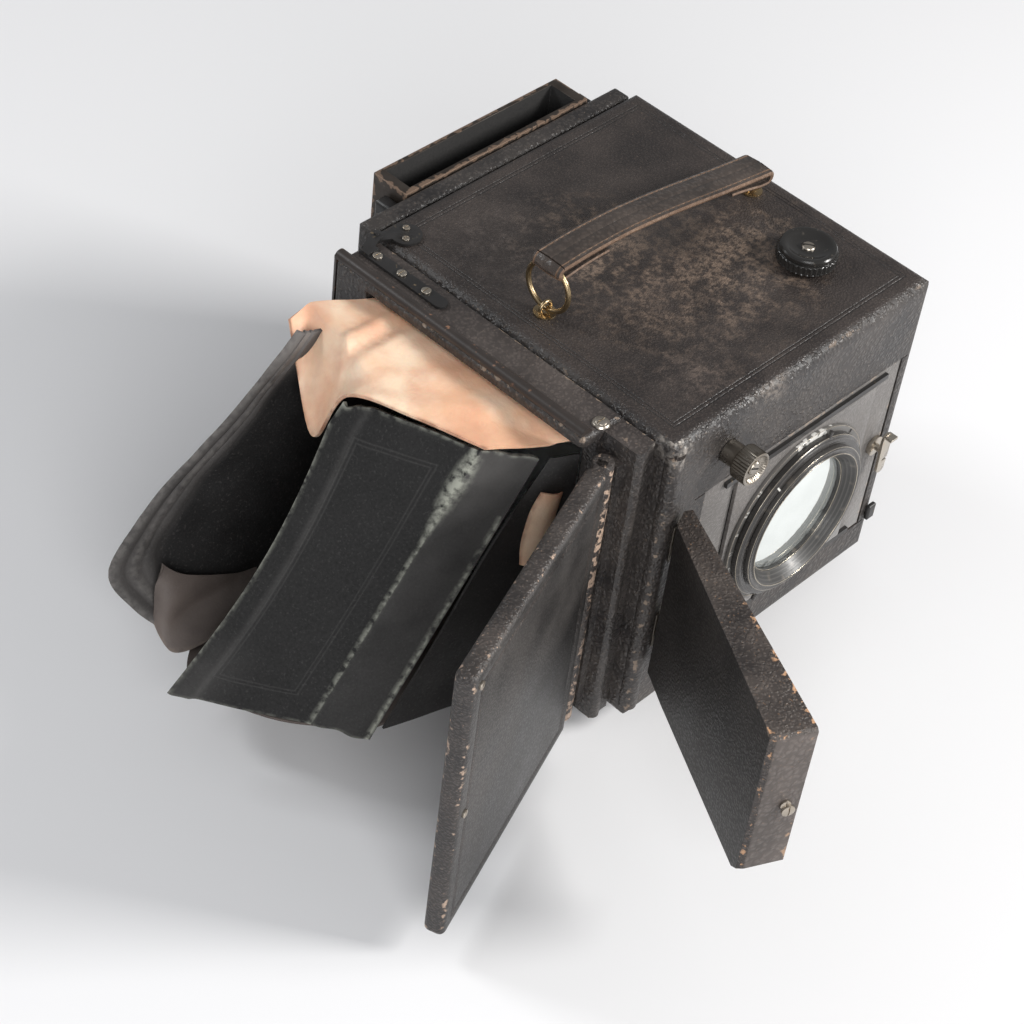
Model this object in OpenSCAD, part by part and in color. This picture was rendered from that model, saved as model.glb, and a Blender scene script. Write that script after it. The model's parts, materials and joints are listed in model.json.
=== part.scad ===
// Folding-hood single-lens reflex camera, a leather-covered plate camera lying on its side.
// Every module draws the camera upright: w runs across it to the strap side, d runs back from
// the lens, h runs up from the base. lay() then puts it on its side, as it is stored.

/* [Case] */
// Width of the case across the lens
case_w = 150; // [146:1:170]
// Depth of the case from the front face to the back frame
case_d = 162; // [160:1:176]
// Height of the case from its base to the hood seam
case_h = 156; // [152:1:165]
// Thickness of the side and top boards with their leather
board = 7; // [6:0.5:8]
// Thickness of the base board
base_board = 8; // [7:0.5:9]
// Radius of the leather-covered edges
edge_r = 6; // [3:0.5:8]
// Running clearance between sliding boards
slide_gap = 0.5; // [0.3:0.1:0.8]
// Seat clearance between pieces that are fixed together
seat_gap = 0.1; // [0.05:0.05:0.2]
// Running clearance of a shaft in its bore
shaft_gap = 0.06; // [0.03:0.01:0.1]

/* [Lens] */
// Height of the lens axis above the base
lens_h = 69; // [66:1:72]
// Offset of the lens axis from the middle of the case, towards the strap side
lens_w = -9; // [-12:1:-6]
// Radius of the lens flange
flange_r = 41; // [38:1:42]
// Radius of the aperture ring
aperture_r = 38.5; // [36:0.5:39]
// Radius of the lens barrel
barrel_r = 34.5; // [33:0.5:35]
// Radius of the front glass
glass_r = 27; // [24:0.5:29]
// Distance that the lens barrel stands in front of the case
barrel_out = 9.5; // [8:0.5:9.5]
// Distance that the lens barrel reaches behind the front face
barrel_in = 22; // [18:1:24]

/* [Front] */
// Width of the focusing front
front_w = 94; // [92:1:98]
// Height of the opening for the focusing front
front_h = 122; // [118:1:124]
// Thickness of the focusing front
front_t = 6; // [5:0.5:7]
// Focusing travel of the front
focus_travel = 40; // [30:1:42]
// Rise and fall of the lens board
rise_travel = 7; // [4:1:7]
// Pitch radius of the focusing pinions
pinion_r = 9; // [9:0.5:9]
// Number of teeth on a focusing pinion
pinion_teeth = 20; // [20:1:20]
// Depth of the focusing shaft behind the front face
focus_d = 40.5; // [38:0.5:44]
// Radius of the focusing knobs
focus_knob_r = 12.5; // [11:0.5:14]
// Height of the focusing knob on the strap side
focus_knob_t = 9.5; // [8:0.5:13]

/* [Flap] */
// Height of the flap hinge above the base
flap_hinge_h = 141; // [139:1:143]
// Length of the lens flap from its hinge to its free end
flap_len = 116; // [113:1:118]
// Width of the lens flap at its hinge
flap_w = 83; // [80:1:86]
// Width of the lens flap at its free end
flap_end_w = 77; // [74:1:82]
// Thickness of the lens flap at its hinge
flap_t = 9.5; // [9:0.5:11]
// Thickness of the lens flap at its free end
flap_end_t = 18; // [16:0.5:20]
// Angle that the flap stands open
flap_open = 116; // [100:1:120]

/* [Hood frame and lid] */
// Height of the hood frame above the seam
frame_h = 22; // [20:1:24]
// Depth of the front end of the hood frame behind the front face
frame_front = 9; // [8:1:12]
// Depth of the back end of the hood frame behind the front face
frame_back = 157; // [154:1:158]
// Length of the lid from its hinge to its free end
lid_len = 121; // [118:1:122]
// Width of the lid across the camera
lid_w = 142.5; // [138:0.5:143]
// Thickness of the lid
lid_t = 8.5; // [7:0.5:9]
// Angle that the lid stands open
lid_open = 110.5; // [95:0.5:115]

/* [Mirror and shutter] */
// Length of the mirror from its hinge to its free edge
mirror_len = 104; // [98:1:104]
// Width of the mirror
mirror_w = 96; // [90:1:98]
// Height of the plate aperture
plate_h = 83; // [83:1:83]
// Radius of the upper blind roller
roller_r = 6.5; // [5:0.5:7]
// Height of every control above the right side of the case
control_t = 9; // [8:0.5:10]

/* [Strap] */
// Width of the carrying strap
strap_w = 15; // [12:1:18]
// Thickness of the carrying strap
strap_t = 3.2; // [2.4:0.2:4]
// Radius of the standing ring at the hood end of the strap
ring_big = 10.4; // [9:0.2:11]
// Radius of the ring at the base end of the strap
ring_small = 3.9; // [3.6:0.1:4.4]
// Thickness of the ring wire
ring_wire = 2.2; // [1.8:0.1:2.4]
// Distance between the two strap lugs
lug_span = 122; // [118:1:124]

/* [Hidden] */

leather = [0.10, 0.09, 0.09];
black_metal = [0.13, 0.13, 0.14];
brass = [0.72, 0.58, 0.30];
nickel = [0.78, 0.76, 0.72];
wood = [0.42, 0.24, 0.13];
peach = [0.87, 0.68, 0.52];
glass = [0.80, 0.88, 0.86];

y0 = -case_d / 2 - 3;                  // front face
side = case_w / 2;                     // half width
seam = case_h + 0.5;                   // underside of the hood frame
frame_top = seam + frame_h;
screen_h = lens_h + 83.5;              // focusing screen, as far from the mirror as the plate
plate_w = case_w - 42;                 // the plate fills the box between its side boards
mirror_hinge = [lens_h + 51, case_d - 16.5]; // height and depth of the mirror hinge
top_roller_h = lens_h + plate_h / 2 + 19;
bottom_roller_h = base_board + roller_r + 3;
roller_d = case_d - 10;
front_low = base_board + 1;
pinion_h = front_low + 24;
rack_w = [lens_w - front_w / 2 + 6, lens_w + front_w / 2 - 6];
flap_top = 38.5;                       // strap-side edge of the flap at its hinge
flap_mid = flap_top - flap_w / 2;
flap_pivot_d = -1.5;
lid_pivot = [seam + 18.5, 17];         // height and depth of the lid hinge
lid_mid = -1.2;                        // middle of the lid across the camera
frame_pivot = [seam + 0.7, frame_back - 0.4];
window = [frame_front + 22, frame_back - 23, side - 11];
release_at = [lens_h + 55, 26];
clamp_at = [lens_h + 53, side - 20];
catch_at = [14, lens_w + 2];
strap_d = 84;
strap_low = 15.5;

// Lays the upright camera on its right side
module lay() { rotate([0, -90, 0]) children(); }

// A point of the camera from its w, d and h
function at(w, d, h) = [w, y0 + d, h];

// Rounded rectangle about its centre
module rounded(a, b, r) {
  square([a - 2 * r, b], center = true);
  square([a, b - 2 * r], center = true);
  for (i = [-1, 1], j = [-1, 1]) translate([i * (a / 2 - r), j * (b / 2 - r)]) circle(r, $fn = 48);
}

// Block from one corner to the other, with the edges along its width rounded
module block(w1, w2, d1, d2, h1, h2) {
  translate(at(w1, d1, h1)) cube([w2 - w1, d2 - d1, h2 - h1]);
}

// Block with all its edges rounded
module soft_block(w1, w2, d1, d2, h1, h2, r) {
  a = w2 - w1;
  b = d2 - d1;
  c = h2 - h1;
  translate(at((w1 + w2) / 2, (d1 + d2) / 2, (h1 + h2) / 2)) intersection() {
    translate([0, 0, -c / 2]) linear_extrude(c) rounded(a, b, r);
    rotate([90, 0, 0]) translate([0, 0, -b / 2]) linear_extrude(b) rounded(a, c, r);
    rotate([90, 0, 90]) translate([0, 0, -a / 2]) linear_extrude(a) rounded(b, c, r);
  }
}

// Cylinders along the three directions of the camera, from a start of the axis
module along_w(w, d, h, len, r, f = 48) {
  translate(at(w, d, h)) rotate([0, 90, 0]) cylinder(h = len, r = r, $fn = f);
}
module along_d(w, d, h, len, r, f = 64) {
  translate(at(w, d, h)) rotate([-90, 0, 0]) cylinder(h = len, r = r, $fn = f);
}
module along_h(w, d, h, len, r, f = 48) {
  translate(at(w, d, h)) cylinder(h = len, r = r, $fn = f);
}

// Fluted edge of a knurled knob, as a star with blunt points
module knurled(r, n, depth, t) {
  linear_extrude(t) polygon([for (i = [0 : 4 * n - 1])
    let (a = 90 * (i + 0.5) / n, q = (i % 4 < 2) ? r : r - depth) [q * cos(a), q * sin(a)]]);
}

// Slotted screw head along +Z, its seat at zero
module screw_head(r, t, slot = 0.7) {
  difference() {
    intersection() {
      cylinder(h = t, r = r, $fn = 40);
      translate([0, 0, t - 2.6 * r]) sphere(2.6 * r, $fn = 64);
    }
    translate([-r - 1, -slot / 2, t * 0.55]) cube([2 * r + 2, slot, t]);
  }
}

// Smooth curve through a list of points, k steps between each two
function blend_at(p, i, t) =
  let (n = len(p) - 1, a = p[max(i - 1, 0)], b = p[i], c = p[min(i + 1, n)], e = p[min(i + 2, n)])
  0.5 * (2 * b + (c - a) * t + (2 * a - 5 * b + 4 * c - e) * t * t + (3 * b - a - 3 * c + e) * t * t * t);
function curve(p, k) = [for (i = [0 : len(p) - 2], j = [0 : k - 1]) blend_at(p, i, j / k), p[len(p) - 1]];

// Sheet of leather between two edges with as many points each; bulge lifts its middle along nrm
module sheet(a, b, rows, t, nrm, bulge = 0, waves = 0, wave = 0) {
  m = len(a);
  u = nrm / norm(nrm);
  grid = [for (j = [0 : rows], i = [0 : m - 1]) let (v = j / rows,
    lift = bulge * sin(180 * v) * sin(180 * i / (m - 1)) + wave * sin(180 * v) * sin(waves * 360 * i / (m - 1)))
    a[i] * (1 - v) + b[i] * v + u * lift];
  n = len(grid);
  back = [for (p = grid) p - u * t];
  rim = concat([for (i = [0 : m - 1]) i], [for (j = [1 : rows]) j * m + m - 1],
               [for (i = [m - 2 : -1 : 0]) rows * m + i], [for (j = [rows - 1 : -1 : 1]) j * m]);
  k = len(rim);
  faces = concat(
    [for (j = [0 : rows - 1], i = [0 : m - 2], s = [0, 1]) let (q = j * m + i)
      s == 0 ? [q, q + m, q + 1] : [q + 1, q + m, q + m + 1]],
    [for (j = [0 : rows - 1], i = [0 : m - 2], s = [0, 1]) let (q = n + j * m + i)
      s == 0 ? [q, q + 1, q + m] : [q + 1, q + m + 1, q + m]],
    [for (i = [0 : k - 1], s = [0, 1]) let (p = rim[i], q = rim[(i + 1) % k])
      s == 0 ? [p, q, n + p] : [q, n + q, n + p]]);
  polyhedron(concat(grid, back), faces);
}

// Case

module body_shell() lay() color(leather) difference() {
  union() {
    soft_block(-side, side, 0, case_d, 0, case_h, edge_r);
    // Leather roll along the top of the front, between the flap and the hood frame
    translate(at(-side + edge_r, 2.6, case_h - 4)) rotate([0, 90, 0]) cylinder(h = case_w - 2 * edge_r, r = 4, $fn = 48);
  }
  block(-side + board, side - board, front_t + 2 * slide_gap, case_d + 1, base_board, case_h - board);
  block(lens_w - front_w / 2, lens_w + front_w / 2, -5, 20, front_low, front_low + front_h);
  block(lens_w - front_w / 2, lens_w + front_w / 2, front_t + slide_gap, 20, base_board, front_low + 1);
  block(-window[2], window[2], window[0] + 3, window[1] + 5, case_h - board - 1, case_h + 5);
  // Groove between the strips of the front face, above and below the focusing front
  for (s = [-1, 1]) block(lens_w + s * front_w / 2 - 0.3, lens_w + s * front_w / 2 + 0.3, -1, 0.7,
                          edge_r, flap_hinge_h - 4);
  along_w(-side - 1, focus_d, pinion_h, case_w + 2, 3.5);
  along_w(-side - 1, mirror_hinge[1], mirror_hinge[0], board + 2, 2 + shaft_gap);
  along_w(-side - 1, roller_d, top_roller_h, board + 2, 2.5 + shaft_gap);
  along_w(-side - 1, roller_d, bottom_roller_h, board + 2, 2.5 + shaft_gap);
  along_w(-side - 1, release_at[1], release_at[0], board + 2, 2 + shaft_gap);
  along_w(side - board - 1, mirror_hinge[1], mirror_hinge[0], 4, 2 + shaft_gap);
  along_w(side - board - 1, roller_d, top_roller_h, 4, 2.5 + shaft_gap);
  along_w(side - board - 1, roller_d, bottom_roller_h, 4, 2.5 + shaft_gap);
  along_d(clamp_at[1], -2, clamp_at[0], front_t + 6, 2 + shaft_gap);
  along_h(0, case_d / 2 + 3, -1, base_board + 2, 8 + seat_gap);
}

module back_frame() lay() color(leather) difference() {
  union() {
    soft_block(-side + 3, side - 3, case_d + 0.3, case_d + 10, 2, case_h - 3, 3);
    block(-side + board + 0.3, side - board - 0.3, case_d - 2.2, case_d + 4, base_board + 0.3, case_h - board - 0.3);
  }
  block(lens_w - plate_w / 2, lens_w + plate_w / 2, case_d - 5, case_d + 12, lens_h - plate_h / 2, lens_h + plate_h / 2);
}

module plate_back() lay() color(black_metal) difference() {
  block(-side + 4, side - 3, case_d + 10.3, case_d + 29, lens_h - 50, lens_h + 57);
  // Slot that the plate holder slides into from the strap side
  block(-side + 8, side, case_d + 13, case_d + 27, lens_h - 45, lens_h + 52);
  block(lens_w - plate_w / 2, lens_w + plate_w / 2, case_d + 8, case_d + 14, lens_h - plate_h / 2, lens_h + plate_h / 2);
}

module plate_clips() lay() color(black_metal) for (s = [0, 1]) {
  h = s == 0 ? lens_h - 50 - 7.3 : lens_h + 57 + 0.3;
  difference() {
    soft_block(side - 26, side - 8, case_d + 10.3, case_d + 21, h, h + 7, 2.5);
    along_h(side - 17, case_d + 15.5, h - 1, 9, 1.4);
  }
}

module shutter_board() lay() color(black_metal) difference() {
  block(-side + board + seat_gap, side - board - seat_gap, roller_d - 1.8, roller_d + 0.2,
        base_board + seat_gap, case_h - board - seat_gap);
  block(lens_w - plate_w / 2, lens_w + plate_w / 2, 100, case_d, lens_h - plate_h / 2 - 2, lens_h + plate_h / 2 + 2);
  for (h = [bottom_roller_h, top_roller_h]) {
    block(lens_w - plate_w / 2 - 4, lens_w + plate_w / 2 + 4, 100, case_d, h - roller_r - 1, h + roller_r + 1);
    block(-side, side, 100, case_d, h - 3, h + 3);
  }
}

module mirror_box_front() lay() color(black_metal) difference() {
  block(-side + board + seat_gap, side - board - seat_gap, 26, 28.5, base_board + seat_gap, case_h - board - seat_gap);
  block(lens_w - 36, lens_w + 36, 20, 40, lens_h - 36, lens_h + 36);
  for (w = rack_w) block(w - 5.3, w + 5.3, 20, 40, base_board, pinion_h - pinion_r + 1.5);
}

module screen_frame() lay() color(black_metal) difference() {
  block(-window[2] + seat_gap, window[2] - seat_gap, window[0] + 3 + seat_gap, window[1] + 5 - seat_gap,
        case_h - board, case_h - 0.2);
  block(-window[2] + 5, window[2] - 5, window[0] + 8, window[1], case_h - board - 1, case_h + 1);
  block(-window[2] + 3, window[2] - 3, window[0] + 6, window[1] + 2, screen_h - 1.2, case_h + 1);
}

module focusing_screen() lay() color(glass)
  block(-window[2] + 3.2, window[2] - 3.2, window[0] + 6.2, window[1] + 1.8, screen_h - 1.2, screen_h + 0.8);

module tripod_bush() lay() color(brass) difference() {
  union() {
    along_h(0, case_d / 2 + 3, 0, base_board, 8, 64);
    along_h(0, case_d / 2 + 3, base_board, 1.5, 11, 64);
  }
  along_h(0, case_d / 2 + 3, -1, base_board + 4, 3.175);
}

module shaft_bushes() lay() color(brass) {
  for (s = [-1, 1]) difference() {
    along_w(s == 1 ? side - board : -side, focus_d, pinion_h, board, 3.4);
    along_w(s == 1 ? side - board - 1 : -side - 1, focus_d, pinion_h, board + 2, 2 + shaft_gap);
  }
}

// Runners that the racks slide on
module focus_tracks() lay() color(wood) for (w = rack_w)
  block(w - 5, w + 5, front_t + 4, 118, base_board + seat_gap, pinion_h - pinion_r - 6.1);

module front_stop() lay() color(black_metal)
  soft_block(lens_w - front_w / 2 + 1, lens_w - front_w / 2 + 9, -2.4, -0.1, 1.5, 6.5, 1);

module flap_hinge_leaf() lay() color(nickel) {
  for (s = [-1, 1]) {
    w = flap_mid + s * 24;
    block(w - 9, w + 9, -0.75, -0.05, flap_hinge_h + 1, flap_hinge_h + 6.6);
    along_w(w - 9, flap_pivot_d, flap_hinge_h, 18, 1.45);
    block(w - 9, w + 9, flap_pivot_d, -0.05, flap_hinge_h, flap_hinge_h + 1.2);
  }
}

// Keyhole plates of the hood-frame hinge, one on each side of the case
module frame_hinge_plates() lay() color(black_metal) for (s = [-1, 1]) {
  w = s == 1 ? side + 0.05 : -side - 1.25;
  along_w(w, frame_pivot[1] - 6, case_h - 9, 1.2, 6.5);
  translate(at(w, frame_pivot[1] - 3, case_h - 4.5)) rotate([-28, 0, 0])
    translate([0, -2.6, -7]) cube([1.2, 5.2, 13]);
  // Eye and pin that the frame turns on
  along_w(w, frame_pivot[1], frame_pivot[0], 1.2, 2.6);
  along_w(s == 1 ? w : w - 2.1, frame_pivot[1], frame_pivot[0], 3.3, 0.9);
}

module case_screws() lay() color(nickel) {
  for (k = [-1, 1]) translate(at(side + 1.3, frame_pivot[1] - 6 + 2.4 * k, case_h - 9 - 2.4 * k))
    rotate([0, 90, 0]) screw_head(1.5, 0.9, 0.5);
  for (k = [-1, 1]) translate(at(-side - 1.3, frame_pivot[1] - 6 + 2.4 * k, case_h - 9 - 2.4 * k))
    rotate([0, -90, 0]) screw_head(1.5, 0.9, 0.5);
}

module strap_lugs() lay() color(nickel) for (h = [strap_low, strap_low + lug_span]) {
  along_w(side + 0.05, strap_d, h, 0.6, 4.6);
  difference() {
    translate(at(eye_w, strap_d, h)) rotate([90, 0, 0])
      rotate_extrude($fn = 48) translate([2.9, 0]) circle(0.8, $fn = 24);
    block(side - 5, side + 0.05, strap_d - 5, strap_d + 5, h - 6, h + 6);
  }
}

// Focusing front

module lens_panel() lay() color(leather) difference() {
  block(lens_w - front_w / 2 + slide_gap, lens_w + front_w / 2 - slide_gap, 0.4, front_t,
        front_low + slide_gap, front_low + front_h - slide_gap);
  block(lens_w - 36, lens_w + 36, -1, 20, lens_h - 36 - rise_travel, lens_h + 36 + rise_travel);
  along_d(catch_at[1], -1, catch_at[0], 4, 1.5 + shaft_gap);
}

module focus_racks() lay() color(brass) for (w = rack_w) {
  pitch = 2 * PI * pinion_r / pinion_teeth;
  top = pinion_h - pinion_r;
  last = focus_d + focus_travel + 8;
  n = floor((last - 12) / pitch);
  // Teeth stand half a pitch to each side of the pinion's lowest point
  first = focus_d - pitch * (floor((focus_d - 12) / pitch) + 0.5);
  translate([w - 2, y0, 0]) rotate([90, 0, 90]) linear_extrude(4) union() {
    polygon([[front_t, top - 6], [last, top - 6], [last, top - 0.75], [front_t, top - 0.75]]);
    for (i = [0 : n - 1]) translate([first + i * pitch, top - 0.76])
      polygon([[-0.65, 0], [0.65, 0], [0.35, 1.35], [-0.35, 1.35]]);
  }
}

// Strips with lips that hold the edges of the rising panel
module rise_guides() lay() color(black_metal) for (s = [-1, 1]) {
  w = lens_w + s * (front_w / 2 - 3.3);
  block(w - 1.2, w + 1.2, -1.3, 0.3, lens_h - 50, lens_h + 50);
}

module bellows() lay() color(leather) {
  n = 3;
  inner = 35.5;
  step = (26 - front_t - 0.6) / n;
  // Pleats of a square leather bellows between the front and the mirror box
  translate(at(lens_w, front_t + 0.3, lens_h)) rotate([-90, 0, 0])
    difference() {
      union() for (i = [0 : n - 1]) translate([0, 0, i * step]) {
        linear_extrude(step / 2 + 0.01) square(2 * inner + 10, center = true);
        translate([0, 0, step / 2]) linear_extrude(step / 2 + 0.01) square(2 * inner + 5, center = true);
      }
      translate([0, 0, -1]) linear_extrude(step * n + 2) square(2 * inner, center = true);
    }
}

// Rising lens board and lens

module rising_panel() lay() color(leather) difference() {
  block(lens_w - front_w / 2 + 4.8, lens_w + front_w / 2 - 4.8, -1.4, 0.2, lens_h - 43, lens_h + 43);
  along_d(lens_w, -5, lens_h, 20, barrel_r - 2 + seat_gap, 96);
}

module lens_flange() lay() color(black_metal) difference() {
  along_d(lens_w, -3, lens_h, 1.5, flange_r, 96);
  along_d(lens_w, -5, lens_h, 20, barrel_r - 2 + seat_gap, 96);
  for (a = [45 : 90 : 360]) translate(at(lens_w, -3.2, lens_h)) rotate([0, a, 0]) translate([flange_r - 1.7, 0, 0])
    rotate([-90, 0, 0]) cylinder(h = 0.8, r = 1.1, $fn = 24);
}

module lens_barrel() lay() color(black_metal) {
  translate(at(lens_w, 0, lens_h)) rotate([-90, 0, 0]) rotate_extrude($fn = 96) polygon([
    [barrel_r - 2, -barrel_out + 0.6], [barrel_r - 2.6, -barrel_out], [glass_r + 4.4, -barrel_out],
    [glass_r + 0.2, -barrel_out + 5.2], [glass_r + 0.2, -0.4], [glass_r - 1.6, -0.4], [glass_r - 1.6, 12],
    [22.2, 14], [22.2, barrel_in - 1], [20.6, barrel_in - 1], [20.6, barrel_in],
    [27.5, barrel_in], [29, barrel_in - 2], [29, 8], [barrel_r - 2, 6.4], [barrel_r - 2, -3.05],
    [barrel_r, -3.05], [barrel_r, -3.2], [barrel_r - 1.2, -3.2], [barrel_r - 1.2, -6.9],
    [barrel_r, -6.9], [barrel_r, -barrel_out + 0.9], [barrel_r - 0.6, -barrel_out + 0.3]]);
}

module lens_disc(r, d, t, bulge) {
  big = (r * r + bulge * bulge) / (2 * bulge);
  translate(at(lens_w, d, lens_h)) rotate([-90, 0, 0]) intersection() {
    cylinder(h = t, r = r, $fn = 96);
    translate([0, 0, big]) sphere(big, $fn = 160);
    translate([0, 0, t - big]) sphere(big, $fn = 160);
  }
}

module front_glass() lay() color(glass) lens_disc(glass_r, -barrel_out + 4.4, 5, 2.2);

module rear_glass() lay() color(glass) lens_disc(22, barrel_in - 7.2, 6, 2);

// Ten blades of the iris, each a curved arm lying on the next
module iris_blades() lay() color(black_metal) translate(at(lens_w, 3, lens_h)) rotate([-90, 0, 0])
  for (i = [0 : 9]) rotate([0, 0, 36 * i]) translate([0, 0, 0.45 * i]) difference() {
    translate([7.5, 0, 0]) cylinder(h = 0.3, r = 17.5, $fn = 64);
    translate([1, -4, -1]) cylinder(h = 3, r = 16, $fn = 64);
  }

module aperture_ring() lay() color(black_metal) {
  difference() {
    translate(at(lens_w, 0, lens_h)) rotate([-90, 0, 0]) rotate_extrude($fn = 96) polygon([
      [barrel_r - 1.2 + shaft_gap, -3.35], [barrel_r - 1.2 + shaft_gap, -6.75], [aperture_r - 1.5, -6.75],
      [aperture_r, -5.6], [aperture_r, -3.35]]);
    along_d(lens_w - aperture_r + 1.6, -7.5, lens_h + 3, 2, 0.7);
  }
  // Two small pins to turn the ring by
  for (a = [152, -14]) translate(at(lens_w, 0, lens_h)) rotate([0, -a, 0])
    translate([aperture_r - 0.5, -5.2, 0]) rotate([0, 90, 0]) cylinder(h = 3.2, r = 0.9, $fn = 32);
}

module clamp_knob() lay() color(nickel) {
  translate(at(clamp_at[1], -6.8, clamp_at[0])) rotate([90, 0, 0]) difference() {
    knurled(7.4, 30, 0.4, 7.6);
    translate([0, 0, 15.6]) sphere(10, $fn = 64);
  }
  along_d(clamp_at[1], -14, clamp_at[0], 2.6, 1.8);
  along_d(clamp_at[1], -7, clamp_at[0], front_t + 10.8, 2);
  along_d(clamp_at[1], -6.9, clamp_at[0], 6.6, 4.6);
  along_d(clamp_at[1], front_t + 1.8, clamp_at[0], 2.2, 5);
}

// Lens flap, drawn shut and then swung open

module swing_flap() {
  translate(at(0, flap_pivot_d, flap_hinge_h)) rotate([-flap_open, 0, 0])
    translate(-at(0, flap_pivot_d, flap_hinge_h)) children();
}

module lens_flap() lay() color(leather) swing_flap() difference() {
  low = flap_hinge_h - flap_len;
  face = flap_pivot_d;
  // The flap is a wedge, thicker towards its free end, and a little narrower there
  intersection() {
    translate([-side, y0, 0]) rotate([90, 0, 90]) linear_extrude(case_w) polygon([
      [face, low], [face, flap_hinge_h - 1.9], [face - 3.5, flap_hinge_h - 1.9],
      [face - flap_t, flap_hinge_h - 9], [face - flap_end_t, low + 2], [face - flap_end_t + 2, low]]);
    translate([0, y0 + 5, 0]) rotate([90, 0, 0]) linear_extrude(40) polygon([
      [flap_top, flap_hinge_h + 1], [flap_top - flap_w, flap_hinge_h + 1],
      [flap_top + 2 - flap_end_w, low + 6], [flap_top + 8 - flap_end_w, low - 1],
      [flap_top + 1, low - 1], [flap_top + 3, low + 1.5]]);
  }
  block(flap_top - flap_w + 9, flap_top - 3, face - 8.4, face + 1, low + 3, flap_hinge_h - 31);
  // Bevel of the lower outer edge
  translate([flap_top - flap_w, y0 + face, flap_hinge_h]) rotate([0, 4, 0]) translate([0, 0, -flap_len - 20])
    linear_extrude(flap_len + 30) polygon([[-2, -4], [-8, -4], [-8, -30], [20, -30]]);
  // Room round the lens when the flap is shut, out through the lower edge
  translate(at(lens_w, face - 8.9, lens_h)) rotate([-90, 0, 0]) cylinder(h = 20, r = aperture_r + 4.2, $fn = 96);
  for (s = [-1, 1]) block(flap_mid + s * 24 - 9.4, flap_mid + s * 24 + 9.4, face - 1.8, face + 3,
                          flap_hinge_h - 3, flap_hinge_h + 5);
}

module flap_stud() lay() color(nickel) swing_flap()
  translate([flap_mid + 3.6, y0 - 6.5, flap_hinge_h - flap_len - 0.05]) rotate([180, 0, 0]) {
    cylinder(h = 1, r = 1.4, $fn = 32);
    translate([0, 0, 1]) screw_head(2.6, 1.5, 0.5);
    translate([2.2, 0.9, 0]) screw_head(2.1, 1.2, 0.4);
  }

module flap_catch() lay() color(black_metal) {
  along_d(catch_at[1], -6, catch_at[0], 8, 1.5);
  along_d(catch_at[1], -1.3, catch_at[0], 1.6, 4.6);
  // Leaf, turned across the camera as it stands open, with an upturned thumb end
  difference() {
    hull() {
      along_d(catch_at[1] - 9, -6, catch_at[0], 1.2, 2.4, 32);
      along_d(catch_at[1] + 7, -6, catch_at[0], 1.2, 3.2, 32);
    }
    block(catch_at[1] - 5, catch_at[1] - 3.8, -12, -2, catch_at[0] - 6, catch_at[0] + 0.4);
  }
  block(catch_at[1] + 8.4, catch_at[1] + 9.6, -9, -4.9, catch_at[0] - 2.2, catch_at[0] + 2.2);
}

// Hood frame, its fittings and the hood

module hood_frame() lay() color(leather) {
  nest = lid_pivot[0] - lid_t / 2 - 0.5;
  difference() {
    union() {
      soft_block(-side, side, frame_front + 16, frame_back, seam, frame_top, 2.4);
      block(-side + 2, side - 2, frame_front, frame_front + 20, seam, nest - 3.5);
      along_w(-side + 2, frame_front + 1.5, nest - 6.5, case_w - 4, 3);
      // Strip under the lid hinge
      block(lid_mid - 66, lid_mid + 66, lid_pivot[1] - 3, frame_front + 20, seam + 2, lid_pivot[0] - 4.45);
    }
    block(-window[2], window[2], window[0], window[1], seam - 1, frame_top + 1);
    block(lid_mid - lid_w / 2 - 0.8, lid_mid + lid_w / 2 + 0.8, frame_front + 5, lid_pivot[1] + lid_len + 1.5, nest, frame_top + 1);
  }
}

// Half-round moulding round the outer edge of the frame
module frame_moulding() lay() color(black_metal) {
  h = frame_top - 3.4;
  for (s = [-1, 1]) intersection() {
    translate(at(s * (side + 0.1), frame_front + 17.5, h)) rotate([-90, 0, 0])
      cylinder(h = frame_back - frame_front - 16.2, r = 2.8, $fn = 40);
    block(s == 1 ? side + 0.1 : -side - 5, s == 1 ? side + 5 : -side - 0.1, frame_front, frame_back + 5, h - 5, h + 5);
  }
  intersection() {
    along_w(-side, frame_back + 0.1, h, case_w, 2.8);
    block(-side, side, frame_back + 0.1, frame_back + 5, h - 5, h + 5);
  }
}

// Straps of the frame hinge, along each side of the frame
module frame_straps() lay() color(black_metal) for (s = [-1, 1]) {
  w = s == 1 ? side + 0.05 : -side - 1.25;
  block(w, w + 1.2, frame_pivot[1] - 44, frame_pivot[1] - 2, seam + 6, seam + 12);
  along_w(w, frame_pivot[1] - 44, seam + 9, 1.2, 3);
  // Cranked end, with an eye outside the one on the case
  out = s == 1 ? w + 1.25 : w - 1.05;
  block(min(w, out), max(w + 1.2, out + 1), frame_pivot[1] - 7, frame_pivot[1] - 2.5, seam + 6, seam + 12);
  difference() {
    union() {
      along_w(out, frame_pivot[1], frame_pivot[0], 1, 2.6);
      translate(at(out, frame_pivot[1], frame_pivot[0])) rotate([24, 0, 0])
        translate([0, -2.2, 0]) cube([1, 4.4, 9.5]);
    }
    along_w(out - 1, frame_pivot[1], frame_pivot[0], 3, 0.9 + shaft_gap);
  }
}

module hood_screws() lay() color(nickel) {
  for (k = [0, 1, 2]) translate(at(side + 1.3, frame_pivot[1] - 9.4 - 13.5 * k, seam + 9)) rotate([0, 90, 0])
    screw_head(2, 1.2, 0.5);
  translate(at(side + 0.1, frame_front + 18.4, seam + 10)) rotate([0, 90, 0]) {
    difference() {
      cylinder(h = 0.8, r1 = 3.6, r2 = 3, $fn = 48);
      translate([0, 0, -1]) cylinder(h = 3, r = 1.6, $fn = 32);
    }
    screw_head(2.3, 1.7, 0.6);
  }
}

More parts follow.
